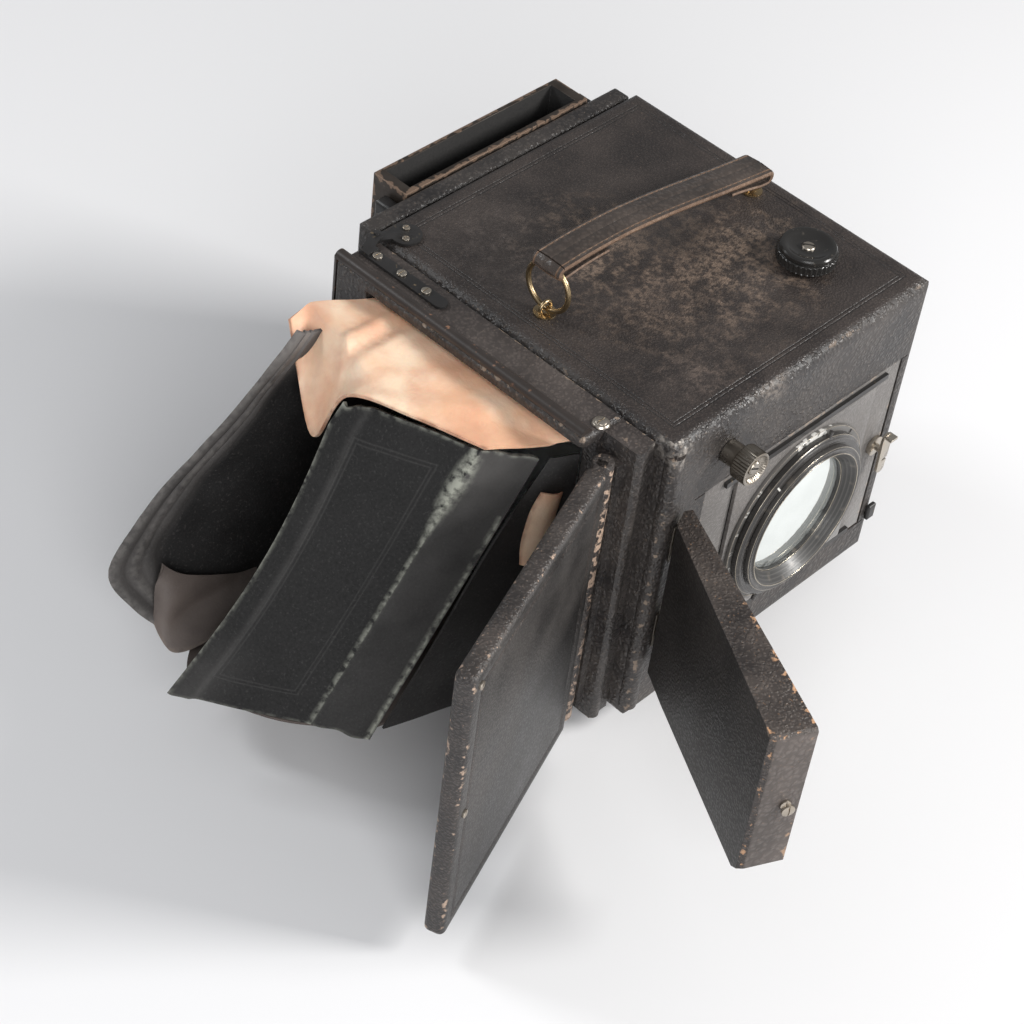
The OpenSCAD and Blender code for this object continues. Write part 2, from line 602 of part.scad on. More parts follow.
// Corners of the drooping hood, each as w, d and h
hood_a = at(58, 41, seam + 24.5);
hood_a2 = at(67, 52, seam + 45);
hood_b = at(67, 105, seam + 66.5);
hood_c = at(-48, 113, seam + 141);
hood_d = at(-55, 49, seam + 93.5);
hood_d2 = at(-46, 64, seam + 111);
hood_e = at(70, 139, seam + 56.5);
hood_f = at(-27, 160, seam + 131.5);
hood_g = at(-56, 138, seam + 117.5);
ledge = lid_pivot[0] - 4;

module hood_front_panel() lay() color(leather) {
  k = 10;
  inner = [for (i = [0 : k]) hood_a2 + (hood_d2 - hood_a2) * i / k];
  // The free edge is cut concave for the face
  outer = [for (i = [0 : k]) hood_b + (hood_c - hood_b) * i / k
           + (hood_a2 - hood_b) * 0.11 * sin(180 * i / k)];
  side_edge = [for (i = [0 : k]) hood_a + (hood_d - hood_a) * i / k];
  sheet(inner, outer, 6, 2.2, [0.55, 0.2, -0.8], -3);
  // Side strip, which folds down to the front of the frame
  fold = (hood_a - hood_a2) / norm(hood_a - hood_a2) * 0.7;
  sheet(side_edge, [for (p = inner) p + fold], 3, 2, [0.42, 0.75, -0.5], 0);
}

module hood_back_panel() lay() color(leather) {
  inner = curve([at(62, window[1] + 1, ledge), at(20, window[1] + 2, ledge), at(-24, window[1] + 2, ledge),
                 at(-60, window[1] + 1, ledge)], 5);
  outer = curve([hood_e, at(26, 148, seam + 88), hood_f, hood_g], 5);
  sheet(inner, outer, 8, 1.6, [0, -1, 0.35], 3, 2, 1.2);
}

module hood_left_gusset() lay() color(peach) {
  inner = curve([at(65, 34, ledge), at(65.5, 62, ledge + 1), at(65.5, 92, ledge + 1), at(65, 112, ledge),
                 at(65, window[1] - 2, ledge)], 4);
  outer = curve([hood_a2 + [1, -2, 1], at(69, 78, seam + 56), hood_b + [2.4, -3, 1], at(36, 119, seam + 66), hood_e + [0, -2, 0]], 4);
  sheet(inner, outer, 6, 1.2, [-1, 0, 0.2], -3, 1.5, 2);
}

module hood_right_gusset() lay() color(leather) {
  inner = curve([at(-62, 38, ledge), at(-63, 70, ledge), at(-63, 104, ledge), at(-62, window[1] - 3, ledge)], 5);
  outer = curve([hood_d + [-4, 4, -3], at(-60, 82, seam + 114.5), at(-59, 116, seam + 126.5), hood_g + [-5, -6, -6]], 5);
  sheet(inner, outer, 6, 1.2, [1, 0, 0.1], -3, 1.5, 2);
}

module hood_front_skirt() lay() color(leather) {
  inner = curve([at(60, window[0] - 0.6, ledge), at(20, window[0] - 0.6, ledge), at(-24, window[0] - 0.6, ledge),
                 at(-60, window[0] - 0.6, ledge)], 4);
  outer = curve([hood_a + [-2, -3, -2], at(20, 41, seam + 47.5), at(-24, 44, seam + 72.5), hood_d + [2, -3, -4]], 4);
  sheet(inner, outer, 5, 1.2, [0, 1, 0.1], 2, 1.5, 1);
}

// Lid, drawn shut and then swung open

module swing_lid() {
  translate(at(0, lid_pivot[1], lid_pivot[0])) rotate([lid_open, 0, 0])
    translate(-at(0, lid_pivot[1], lid_pivot[0])) children();
}

module top_lid() lay() color(leather) swing_lid() union() {
  soft_block(lid_mid - lid_w / 2, lid_mid + lid_w / 2, lid_pivot[1] + 5.5, lid_pivot[1] + lid_len, lid_pivot[0] - lid_t / 2,
             lid_pivot[0] + lid_t / 2, 2.6);
  along_w(lid_mid - lid_w / 2 + 1, lid_pivot[1], lid_pivot[0], lid_w - 2, 4.2);
  block(lid_mid - lid_w / 2 + 1, lid_mid + lid_w / 2 - 1, lid_pivot[1], lid_pivot[1] + 8, lid_pivot[0] - 2, lid_pivot[0] + 2);
}

module lid_studs() lay() color(nickel) swing_lid() for (w = [-4, lid_mid + lid_w / 2 - 6])
  translate(at(w, lid_pivot[1] + lid_len - 5, lid_pivot[0] + lid_t / 2 + 0.05)) screw_head(1.7, 1.1, 0.4);

// Focusing pinion

module focus_shaft() lay() color(nickel) {
  along_w(-side - 6, focus_d, pinion_h, case_w + 12.4, 2);
  pitch_a = 360 / pinion_teeth;
  for (w = rack_w) translate(at(w - 1.8, focus_d, pinion_h)) rotate([0, 90, 0]) linear_extrude(3.6)
    rotate(0) polygon([for (i = [0 : pinion_teeth - 1], s = [-1, -0.45, 0.45, 1])
      let (a = i * pitch_a + s * (abs(s) == 1 ? 0.27 : 0.27) * pitch_a, q = abs(s) == 1 ? pinion_r - 0.95 : pinion_r + 0.55)
      [q * cos(a), q * sin(a)]]);
}

module focus_knob() lay() color(black_metal) translate(at(side + 0.4, focus_d, pinion_h)) rotate([0, 90, 0])
  difference() {
    union() {
      cylinder(h = 2, r = focus_knob_r - 2.5, $fn = 72);
      translate([0, 0, 1.5]) knurled(focus_knob_r, 56, 0.5, focus_knob_t - 4);
      translate([0, 0, focus_knob_t - 3]) cylinder(h = 1.5, r1 = focus_knob_r - 0.6, r2 = focus_knob_r - 2, $fn = 72);
    }
    translate([0, 0, focus_knob_t - 3]) cylinder(h = 6, r1 = focus_knob_r - 5.5, r2 = focus_knob_r - 2, $fn = 72);
    translate([0, 0, -1]) cylinder(h = focus_knob_t, r = 2 + seat_gap, $fn = 32);
  }

module focus_knob_right() lay() color(black_metal) translate(at(-side - 0.4, focus_d, pinion_h)) rotate([0, -90, 0])
  difference() {
    union() {
      cylinder(h = 2, r = focus_knob_r - 2.5, $fn = 72);
      translate([0, 0, 1.5]) knurled(focus_knob_r, 56, 0.5, control_t - 1.9);
    }
    translate([0, 0, -1]) cylinder(h = 7, r = 2 + seat_gap, $fn = 32);
  }

// Mirror, drawn flat under the screen and then swung down

module swing_mirror() {
  translate(at(0, mirror_hinge[1], mirror_hinge[0])) rotate([45, 0, 0])
    translate(-at(0, mirror_hinge[1], mirror_hinge[0])) children();
}

module mirror_frame() lay() color(black_metal) swing_mirror() difference() {
  union() {
    block(lens_w - mirror_w / 2, lens_w + mirror_w / 2, mirror_hinge[1] - mirror_len, mirror_hinge[1] - 1,
          mirror_hinge[0] - 2, mirror_hinge[0] + 4);
    along_w(lens_w - mirror_w / 2, mirror_hinge[1], mirror_hinge[0], mirror_w, 4);
  }
  block(lens_w - mirror_w / 2 + 2, lens_w + mirror_w / 2 - 2, mirror_hinge[1] - mirror_len + 2, mirror_hinge[1] - 5,
        mirror_hinge[0], mirror_hinge[0] + 5);
  along_w(lens_w - mirror_w / 2 - 1, mirror_hinge[1], mirror_hinge[0], mirror_w + 2, 2 + seat_gap);
}

module mirror_glass() lay() color(glass) swing_mirror()
  block(lens_w - mirror_w / 2 + 2.3, lens_w + mirror_w / 2 - 2.3, mirror_hinge[1] - mirror_len + 2.3,
        mirror_hinge[1] - 5.3, mirror_hinge[0] + 0.1, mirror_hinge[0] + 3.1);

module mirror_pivot() lay() color(nickel)
  along_w(-side + 1, mirror_hinge[1], mirror_hinge[0], case_w - board + 1, 2);

module release_boss() lay() color(black_metal) difference() {
  along_w(-side - control_t, release_at[1], release_at[0], control_t - 0.1, 10);
  along_w(-side - 4.4, release_at[1], release_at[0], 6, 6.5);
  block(-side - 4.4, -side + 1, release_at[1] - 12, release_at[1] + 12, release_at[0] - 12, release_at[0] - 1);
  along_w(-side - 6.4, release_at[1], release_at[0], 8, 2 + shaft_gap);
}

module release_lever() lay() color(nickel) {
  along_w(-side - 6, release_at[1], release_at[0], board + 6, 2);
  along_w(-side - 3.9, release_at[1], release_at[0], 3, 6);
  hull() {
    along_w(-side - 3.4, release_at[1], release_at[0], 2, 3.5, 32);
    along_w(-side - 3.4, release_at[1], release_at[0] - 20, 2, 3, 32);
  }
}

// Blind shutter

module shutter_roller(h, knob_end) {
  along_w(lens_w - plate_w / 2 - 2, roller_d, h, plate_w + 4, roller_r);
  along_w(-side - knob_end, roller_d, h, case_w - 4.1 + knob_end, 2.5);
}

module top_roller() lay() color(wood) shutter_roller(top_roller_h, 4);

module bottom_roller() lay() color(wood) shutter_roller(bottom_roller_h, 4);

module shutter_blind() lay() color(black_metal) difference() {
  block(lens_w - plate_w / 2 - 1, lens_w + plate_w / 2 + 1, roller_d + roller_r + 0.35, roller_d + roller_r + 0.85,
        bottom_roller_h - 2, top_roller_h + 2);
  // Slit that passes the plate
  block(lens_w - plate_w / 2 + 2, lens_w + plate_w / 2 - 2, 100, case_d + 5, lens_h + plate_h / 2 + 3, lens_h + plate_h / 2 + 13);
}

module winding_knob() lay() color(black_metal) translate(at(-side - 0.4, roller_d, top_roller_h)) rotate([0, -90, 0])
  difference() {
    union() {
      cylinder(h = 2, r = 8.5, $fn = 48);
      translate([0, 0, 1.5]) knurled(10.5, 32, 0.5, control_t - 1.9);
    }
    translate([0, 0, -1]) cylinder(h = 4.7, r = 2.5 + seat_gap, $fn = 32);
  }

module tension_knob() lay() color(black_metal) translate(at(-side - 0.4, roller_d, bottom_roller_h)) rotate([0, -90, 0])
  difference() {
    union() {
      cylinder(h = 2, r = 12, $fn = 48);
      translate([0, 0, 1.5]) knurled(10, 32, 0.5, control_t - 1.9);
    }
    translate([0, 0, -1]) cylinder(h = 4.7, r = 2.5 + seat_gap, $fn = 32);
  }

// Carrying strap

eye_w = side + 2.5;
ring_h = [strap_low, strap_low + lug_span];
ring_r = [ring_small, ring_big];

module strap_ring(i, wire, f = 64) translate(at(eye_w + ring_r[i], strap_d, ring_h[i]))
  rotate_extrude($fn = f) translate([ring_r[i], 0]) circle(wire, $fn = 24);

module carrying_strap() lay() color(leather) {
  low = ring_h[0];
  high = ring_h[1];
  base = eye_w + 2 * ring_small + 3;
  top = eye_w + 2 * ring_big + 3.2;
  // Upper side of the strap from the hood end to the base end, as height and w
  back = curve([[high, top], [high - 14, top + 0.6], [high - 37, top + 0.2], [high - 62, top - 2.4],
                [low + 35, base + 6.4], [low + 17, base + 3.2], [low, base]], 3);
  n = len(back) - 1;
  // The ends are folded round the rings and twice as thick
  thick = [for (i = [0 : n]) strap_t + 2.6 * pow(max(0, abs(2 * i / n - 1) * 4 - 3), 0.7)];
  inside = [for (i = [n : -1 : 0]) back[i] - [0, thick[i]]];
  difference() {
    translate([0, y0 + strap_d + strap_w / 2, 0]) rotate([90, 0, 0]) linear_extrude(strap_w)
      polygon(concat([[top - 3.6, high + 3.6], [top - 1.4, high + 3.2], [top - 0.2, high + 1.6]],
        [for (p = back) [p[1], p[0]]], [[base - 1.2, low - 2.6], [base - 3.4, low - 3.4], [base - 5.2, low - 2.8]],
        [for (p = inside) [p[1], p[0]]], [[top - 5.6, high + 2.2]]));
    strap_ring(0, ring_wire / 2 + 0.06);
    strap_ring(1, ring_wire / 2 + 0.06);
  }
}

module strap_rings() lay() color(nickel) {
  strap_ring(0, ring_wire / 2);
  strap_ring(1, ring_wire / 2);
}

body_shell();
back_frame();
plate_back();
plate_clips();
shutter_board();
mirror_box_front();
focusing_screen();
screen_frame();
tripod_bush();
strap_lugs();
shaft_bushes();
focus_tracks();
front_stop();
flap_hinge_leaf();
frame_hinge_plates();
case_screws();
lens_panel();
focus_racks();
rise_guides();
bellows();
rising_panel();
lens_flange();
lens_barrel();
front_glass();
rear_glass();
iris_blades();
aperture_ring();
clamp_knob();
lens_flap();
flap_stud();
flap_catch();
hood_frame();
frame_moulding();
frame_straps();
hood_screws();
hood_front_panel();
hood_back_panel();
hood_left_gusset();
hood_right_gusset();
hood_front_skirt();
top_lid();
lid_studs();
focus_shaft();
focus_knob();
focus_knob_right();
mirror_frame();
mirror_glass();
mirror_pivot();
release_boss();
release_lever();
top_roller();
winding_knob();
bottom_roller();
tension_knob();
shutter_blind();
carrying_strap();
strap_rings();
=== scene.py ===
import json
from math import cos, pi, radians, sin

import bpy
from mathutils import Matrix, Vector, noise

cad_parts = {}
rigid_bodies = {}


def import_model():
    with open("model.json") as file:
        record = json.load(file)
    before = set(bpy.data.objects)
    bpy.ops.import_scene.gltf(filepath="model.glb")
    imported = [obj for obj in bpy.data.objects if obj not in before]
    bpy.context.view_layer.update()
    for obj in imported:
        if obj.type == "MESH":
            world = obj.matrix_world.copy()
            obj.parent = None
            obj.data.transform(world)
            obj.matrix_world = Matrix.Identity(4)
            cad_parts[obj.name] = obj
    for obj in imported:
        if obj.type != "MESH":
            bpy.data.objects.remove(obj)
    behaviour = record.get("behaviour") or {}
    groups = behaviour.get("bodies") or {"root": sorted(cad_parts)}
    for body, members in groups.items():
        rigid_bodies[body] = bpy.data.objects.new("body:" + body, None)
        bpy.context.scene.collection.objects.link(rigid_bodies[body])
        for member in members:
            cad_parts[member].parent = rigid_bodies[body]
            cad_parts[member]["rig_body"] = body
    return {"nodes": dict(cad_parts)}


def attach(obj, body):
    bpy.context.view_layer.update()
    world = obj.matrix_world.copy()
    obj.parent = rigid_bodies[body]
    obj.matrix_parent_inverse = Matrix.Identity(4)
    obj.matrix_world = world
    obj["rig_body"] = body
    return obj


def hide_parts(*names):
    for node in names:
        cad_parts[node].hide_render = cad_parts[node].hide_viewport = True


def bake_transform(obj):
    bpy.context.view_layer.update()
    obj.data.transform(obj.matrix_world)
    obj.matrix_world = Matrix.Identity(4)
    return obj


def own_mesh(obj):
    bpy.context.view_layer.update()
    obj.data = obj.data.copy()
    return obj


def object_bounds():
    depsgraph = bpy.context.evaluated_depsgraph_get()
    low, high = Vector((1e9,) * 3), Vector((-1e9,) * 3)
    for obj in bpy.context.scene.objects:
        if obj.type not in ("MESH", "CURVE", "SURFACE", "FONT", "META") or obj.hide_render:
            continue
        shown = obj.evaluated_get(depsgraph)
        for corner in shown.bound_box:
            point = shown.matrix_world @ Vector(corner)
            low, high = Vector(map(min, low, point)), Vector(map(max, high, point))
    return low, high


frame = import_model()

# The room: a plain pale floor under the camera as it lies, a soft lamp before the lens that whitens the
# right of the floor, weaker ones behind and on the hood's side, and the photographer's own view.
bpy.ops.object.select_all(action="DESELECT")
cad_box = [list(map(float, corner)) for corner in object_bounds()]


def lamp(name, place, size, power, colour):
    bpy.ops.object.light_add(type="AREA", location=place)
    light = bpy.context.object
    light.name = name
    light.rotation_euler = (Vector((-0.04, -0.02, 0)) - Vector(place)).to_track_quat("-Z", "Y").to_euler()
    light.data.shape = "SQUARE"
    light.data.size = size
    light.data.energy = power
    light.data.color = colour


lamp("lamp_right", (0.85, -1.30, 0.98), 0.55, 36, (1, 0.985, 0.96))
lamp("lamp_back", (-0.75, 1.35, 1.15), 0.45, 10, (0.97, 0.985, 1))
lamp("lamp_front", (-1.05, -1.05, 0.75), 0.9, 14, (1, 1, 1))
sky = bpy.data.worlds.new("sky")
sky.use_nodes = True
sky.node_tree.nodes["Background"].inputs["Color"].default_value = (0.97, 0.98, 1, 1)
sky.node_tree.nodes["Background"].inputs["Strength"].default_value = 0.30
bpy.context.scene.world = sky

bpy.ops.mesh.primitive_plane_add(size=9, location=(0, 0, cad_box[0][2] - 0.0002))
floor = bpy.context.object
floor.name = "floor"
paper = bpy.data.materials.new("paper")
paper.use_nodes = True
paper.node_tree.nodes["Principled BSDF"].inputs["Base Color"].default_value = (0.80, 0.80, 0.812, 1)
paper.node_tree.nodes["Principled BSDF"].inputs["Roughness"].default_value = 0.8
floor.data.materials.append(paper)

bpy.ops.object.camera_add()
eye = bpy.context.object
eye.data.lens = 88.9
eye.data.sensor_width = 36
eye.matrix_world = Matrix(((0.697291, 0.450931, -0.557177, -0.717), (-0.710059, 0.540812, -0.450931, -0.4665),
                           (0.097989, 0.710059, 0.697291, 0.6913), (0, 0, 0, 1)))
bpy.context.scene.camera = eye
bpy.context.scene.view_settings.view_transform = "Standard"


# The case is a mahogany box covered in black pebbled leather, turned over its edges. A blind-tooled
# double line runs round the strap side, and hands have rubbed brown patches beside the strap.
side, case_deep, case_high = 75, 162, 156      # half the width, the depth and the height, in millimetres


def at(w, d, h):
    """A point of the upright camera, across, back from the lens and up, in millimetres."""
    return Vector((-h, d - 84, w)) / 1000


def add(tree, kind, inputs=(), **settings):
    """A shader node with its settings, and a value or another node's socket for its inputs."""
    made = tree.nodes.new("ShaderNode" + kind)
    for name, value in settings.items():
        setattr(made, name, value)
    for name, value in dict(inputs).items():
        if isinstance(value, bpy.types.NodeSocket):
            tree.links.new(value, made.inputs[name])
        else:
            made.inputs[name].default_value = value
    return made


def maths(tree, operation, *values):
    return add(tree, "Math", enumerate(values), operation=operation).outputs[0]


def times(tree, *values):
    return maths(tree, "MULTIPLY", *values)


def plus(tree, *values):
    return maths(tree, "ADD", *values)


def less(tree, *values):
    return maths(tree, "SUBTRACT", *values)


def vector(tree, operation, first, second):
    return add(tree, "VectorMath", {0: first, 1: second}, operation=operation).outputs[0]


def away_from(tree, place, point):
    """How far each point is from one point, in metres."""
    return add(tree, "VectorMath", {0: place, 1: Vector(point)}, operation="DISTANCE").outputs["Value"]


def mix(tree, share, first, second):
    first = first if isinstance(first, bpy.types.NodeSocket) else (*first, 1)
    second = second if isinstance(second, bpy.types.NodeSocket) else (*second, 1)
    return add(tree, "Mix", {0: share, 6: first, 7: second}, data_type="RGBA").outputs[2]


def ramp(tree, value, low, high, start=0.0, end=1.0):
    return add(tree, "MapRange", {0: value, 1: low, 2: high, 3: start, 4: end}).outputs[0]


def clouds(tree, place, size, detail=3.0):
    """Noise with patches about that many metres across, from 0 to 1."""
    return add(tree, "TexNoise", {"Vector": place, "Scale": 1 / size, "Detail": detail}).outputs[0]


def finish(name, colour, rough, metal=0.0, **sockets):
    """A new material, with its node tree, its shader and the place of each point."""
    made = bpy.data.materials.new(name)
    made.use_nodes = True
    tree = made.node_tree
    shader = tree.nodes["Principled BSDF"]
    shader.inputs["Base Color"].default_value = (*colour, 1)
    shader.inputs["Roughness"].default_value = rough
    shader.inputs["Metallic"].default_value = metal
    for socket, value in sockets.items():
        shader.inputs[socket.replace("_", " ")].default_value = value
    return made, tree, shader, add(tree, "TexCoord").outputs["Object"]


def wire(tree, shader, colour=None, rough=None, bump=None):
    """Links a colour and a roughness to the shader, and a bump: its strength, its depth and its height."""
    if bump is not None:
        bump = add(tree, "Bump", zip(("Strength", "Distance", "Height"), bump)).outputs[0]
    for socket, value in (("Base Color", colour), ("Roughness", rough), ("Normal", bump)):
        if value is not None:
            tree.links.new(value, shader.inputs[socket])


def edge_distance(tree, place, low, high):
    """How far a point on a board's face is from the board's nearest edge, in metres."""
    off = vector(tree, "SUBTRACT", place, (low + high) / 2)
    off = add(tree, "VectorMath", {0: off}, operation="ABSOLUTE").outputs[0]
    off = vector(tree, "SUBTRACT", off, Vector([abs(a) / 2 for a in high - low]))
    x, y, z = add(tree, "SeparateXYZ", {0: off}).outputs[:3]
    middle = maths(tree, "MAXIMUM", maths(tree, "MINIMUM", x, y),
                   maths(tree, "MINIMUM", maths(tree, "MAXIMUM", x, y), z))
    return times(tree, middle, -1)


def line_at(tree, distance, where, half_width=0.00045):
    """1 on a tooled line at that distance, 0 beside it."""
    off = maths(tree, "ABSOLUTE", less(tree, distance, where))
    return ramp(tree, off, 0, half_width, 1, 0)


def leather(name, dark, light, pebble, depth, rough, worn=(0.33, 0.245, 0.18), wear=0.5, board=None,
            turn=None, lines=(), patches=(), dust=0.25, sheen=0.0):
    """Grained leather. board gives the corners of the piece as it was made, for the wear on its edges
    and its tooled lines, and turn the angle and pivot that its pattern is swung by. patches are places drawn
    in another colour, rubbed places and painted shade: a point, a radius, a colour and how much of it shows."""
    made, tree, shader, place = finish(name, dark, rough)
    own = place
    if turn:
        swing = Matrix.Rotation(-turn[0], 3, "Z")
        own = add(tree, "Mapping", {"Vector": place, "Location": turn[1] - swing @ turn[1],
                                    "Rotation": (0, 0, -turn[0])}).outputs[0]
    bend = add(tree, "TexNoise", {"Vector": own, "Scale": 0.7 / pebble, "Detail": 1.0}).outputs[1]
    bend = vector(tree, "SUBTRACT", bend, (0.5, 0.5, 0.5))
    bend = add(tree, "VectorMath", {0: bend, "Scale": pebble * 1.3}, operation="SCALE").outputs[0]
    bend = vector(tree, "ADD", own, bend)
    cell = add(tree, "TexVoronoi", {"Vector": bend, "Scale": 1 / pebble, "Randomness": 0.9})
    dome = ramp(tree, cell.outputs["Distance"], 0.15, 0.62, 1, 0)
    fine = clouds(tree, own, pebble * 0.3, 2)
    broad = clouds(tree, own, 0.022, 4)
    tint = plus(tree, times(tree, dome, 0.45), times(tree, ramp(tree, broad, 0.35, 0.7), 0.55))
    fleck = ramp(tree, clouds(tree, own, 0.0011, 2), 0.66, 0.74)
    colour = mix(tree, times(tree, fleck, dust), mix(tree, tint, dark, light), worn)
    # A patch's colour can be a painted shadow, as with the dark one under the case's strap.
    for point, radius, rubbed, share in patches:
        near = ramp(tree, away_from(tree, own, point), radius, radius * 0.2)
        spots = ramp(tree, plus(tree, clouds(tree, own, 0.0065, 8), times(tree, near, 0.17)), 0.52, 0.74)
        spots = times(tree, spots, ramp(tree, clouds(tree, own, 0.0019, 5), 0.40, 0.60, 0.08, 1))
        colour = mix(tree, times(tree, times(tree, spots, near), share), colour, rubbed)
    height = plus(tree, times(tree, dome, 0.75), times(tree, fine, 0.25))
    gloss = less(tree, rough, times(tree, dome, 0.12))
    if board:
        edge = edge_distance(tree, own, *board)
        bite = plus(tree, clouds(tree, own, 0.0030, 5), ramp(tree, edge, 0.0030, 0.0004, 0, 0.16))
        bite = plus(tree, bite, ramp(tree, clouds(tree, own, 0.045, 2), 0.35, 0.65, -0.07, 0.05))
        rubbed = times(tree, ramp(tree, bite, 0.66, 0.72), ramp(tree, edge, 0.0030, 0.0012))
        colour = mix(tree, times(tree, rubbed, wear), colour, worn)
        height = less(tree, height, times(tree, rubbed, wear * 0.6))
        for where in lines:
            line = line_at(tree, edge, where)
            height = less(tree, height, times(tree, line, 1.3))
            colour = mix(tree, times(tree, line, 0.7), colour, [part * 0.4 for part in dark])
    gloss = plus(tree, gloss, times(tree, ramp(tree, broad, 0.3, 0.7), 0.1))
    wire(tree, shader, colour, gloss, (1.0, depth, height))
    shader.inputs["Sheen Weight"].default_value = sheen
    return made


def facing(piece, *choices):
    """Gives each face of a piece the material of the first way that it faces, within so many degrees. The
    last choice is the material of all the other faces."""
    for choice in choices[:-1]:
        piece.data.materials.append(choice[2])
    piece.data.materials.append(choices[-1])
    for face in piece.data.polygons:
        face.material_index = next((index for index, (way, reach, material) in enumerate(choices[:-1])
                                    if face.normal.angle(Vector(way), pi) < radians(reach)), len(choices) - 1)


def only(piece):
    """Selects one piece alone, for the operators."""
    bpy.ops.object.select_all(action="DESELECT")
    piece.select_set(True)
    bpy.context.view_layer.objects.active = piece


def edges_rounded(piece, width, segments, angle):
    """A bevel on the edges sharper than angle."""
    bevel = piece.modifiers.new("edges", "BEVEL")
    bevel.limit_method = "ANGLE"
    bevel.angle_limit = radians(angle)
    bevel.width = width
    bevel.segments = segments
    bpy.ops.object.modifier_apply(modifier="edges")


def soften(name, node, width, slot, *choices, angle=30, segments=3):
    """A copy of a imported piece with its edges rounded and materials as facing() gives them, which stands
    for that piece."""
    source = frame["nodes"][node]
    piece = bpy.data.objects.new(name, source.data.copy())
    bpy.context.scene.collection.objects.link(piece)
    piece.data.materials.clear()
    only(piece)
    bpy.ops.object.mode_set(mode="EDIT")
    bpy.ops.mesh.select_all(action="SELECT")
    bpy.ops.mesh.remove_doubles(threshold=0.000002)
    bpy.ops.mesh.dissolve_limited(angle_limit=radians(0.5))
    bpy.ops.object.mode_set(mode="OBJECT")
    if width:
        edges_rounded(piece, width, segments, angle)
    bpy.ops.object.shade_smooth_by_angle(angle=radians(angle + 4))
    facing(piece, *choices)
    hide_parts(node)
    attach(piece, source["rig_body"])
    return piece


case_corners = at(-side, case_deep, 0), at(side, 0, case_high)
case_leather = leather(
    "case_leather", (0.020, 0.0160, 0.0150), (0.062, 0.049, 0.043), 0.00105, 0.00022, 0.43,
    board=case_corners, lines=(0.0088, 0.0104), dust=0.16,
    patches=[(at(side, d, h), reach, colour, share) for d, h, reach, colour, share in (
        (96, 92, 0.046, (0.21, 0.15, 0.11), 0.85), (60, 50, 0.052, (0.22, 0.16, 0.12), 0.8),
        # The near-black patch at d 84, h 66 lies under the middle of the strap: a painted shadow of the
        # strap, not rubbing.
        (84, 66, 0.030, (0.013, 0.012, 0.012), 0.9), (20, 120, 0.030, (0.13, 0.10, 0.085), 0.5),
        (60, 90, 0.060, (0.20, 0.145, 0.11), 0.6), (120, 120, 0.050, (0.11, 0.09, 0.08), 0.45))])
pebbled = leather(
    "pebbled", (0.016, 0.014, 0.014), (0.070, 0.060, 0.054), 0.0019, 0.00042, 0.42, wear=0.6,
    board=case_corners, dust=0.22,
    patches=((at(side - 1, 1, 152), 0.012, (0.50, 0.45, 0.40), 0.9),
             (at(side, 0, 100), 0.020, (0.30, 0.25, 0.21), 0.4)))
soften("case_box", "body_shell", 0.0006, "pebbled_leather", ((0, 0, 1), 25, case_leather), pebbled)


# The back of the case is a leather-covered frame. Two clips hold the plate holder's slot on it, in worn
# bronzed metal that is black inside.
soften("back_frame_leather", "back_frame", 0.0004, "pebbled_leather", pebbled)


def metal(name, colour, rough, metallic=1.0, bare=None, wear=0.5, board=None, grime=0.4):
    """Metal with grime in its low places, fine scratches, and bare metal where hands have worn it."""
    made, tree, shader, place = finish(name, colour, rough, metallic)
    broad = clouds(tree, place, 0.012, 4)
    fine = clouds(tree, place, 0.0011, 3)
    dirty = (colour[0] * 0.35, colour[1] * 0.3, colour[2] * 0.25)
    tone = mix(tree, times(tree, ramp(tree, broad, 0.42, 0.66), grime), colour, dirty)
    gloss = plus(tree, rough - 0.05, times(tree, ramp(tree, broad, 0.3, 0.7), 0.16))
    if bare:
        chance = clouds(tree, place, 0.0034, 5)
        if board:
            edge = edge_distance(tree, place, *board)
            chance = plus(tree, chance, ramp(tree, edge, 0.0022, 0.0003, 0, 0.26))
        tone = mix(tree, times(tree, ramp(tree, chance, 0.64, 0.70), wear), tone, bare)
    wire(tree, shader, tone, gloss, (0.5, 0.00006, fine))
    return made


enamel = metal("black_enamel", (0.022, 0.021, 0.021), 0.34, 0.0, bare=(0.30, 0.22, 0.13), wear=0.55)
bronzed = metal("bronzed_edge", (0.050, 0.040, 0.033), 0.45, 0.4, bare=(0.30, 0.20, 0.14), wear=0.6,
                board=(at(-71, 191, 19), at(72, 172.3, 126)), grime=0.7)
nickel = metal("nickel", (0.55, 0.50, 0.43), 0.30, bare=(0.45, 0.30, 0.16))
brass = metal("old_brass", (0.56, 0.40, 0.20), 0.34, bare=(0.20, 0.13, 0.07), wear=0.7)
steel = metal("bright_steel", (0.52, 0.52, 0.52), 0.28)
plate = soften("plate_holder_slot", "plate_back", 0.00035, "worn_metal", bronzed)
black_inside, tree, shader, place = finish("black_inside", (0.012, 0.011, 0.011), 0.75)
weave = clouds(tree, place, 0.0009, 2)
wire(tree, shader, mix(tree, weave, (0.008, 0.008, 0.008), (0.028, 0.026, 0.025)), None, (0.6, 0.0001, weave))
plate.data.materials.append(black_inside)
slot_low, slot_high = at(-67.5, 174.9, 121.2), at(71.5, 189.1, 23.8)
for face in plate.data.polygons:
    if all(low < middle < high for low, middle, high in zip(slot_low, face.center, slot_high)):
        face.material_index = 1
soften("back_clips", "plate_clips", 0.0005, "black_enamel", enamel)


# The inside: mirror box, ground glass screen, mirror, roller blind and focusing gear, all out of sight
# from outside but seen past the open hood and through the lens.
def wood(name, colour, stretch):
    """Oiled mahogany, with its grain stretched differently along each axis."""
    made, tree, shader, place = finish(name, colour, 0.42)
    drawn = add(tree, "Mapping", {"Vector": place, "Scale": stretch}).outputs[0]
    grain = add(tree, "TexNoise", {"Vector": drawn, "Scale": 1.0, "Detail": 4.0}).outputs[0]
    tone = mix(tree, ramp(tree, grain, 0.35, 0.65), colour, [part * 0.4 for part in colour])
    wire(tree, shader, tone, None, (0.4, 0.0001, grain))
    return made


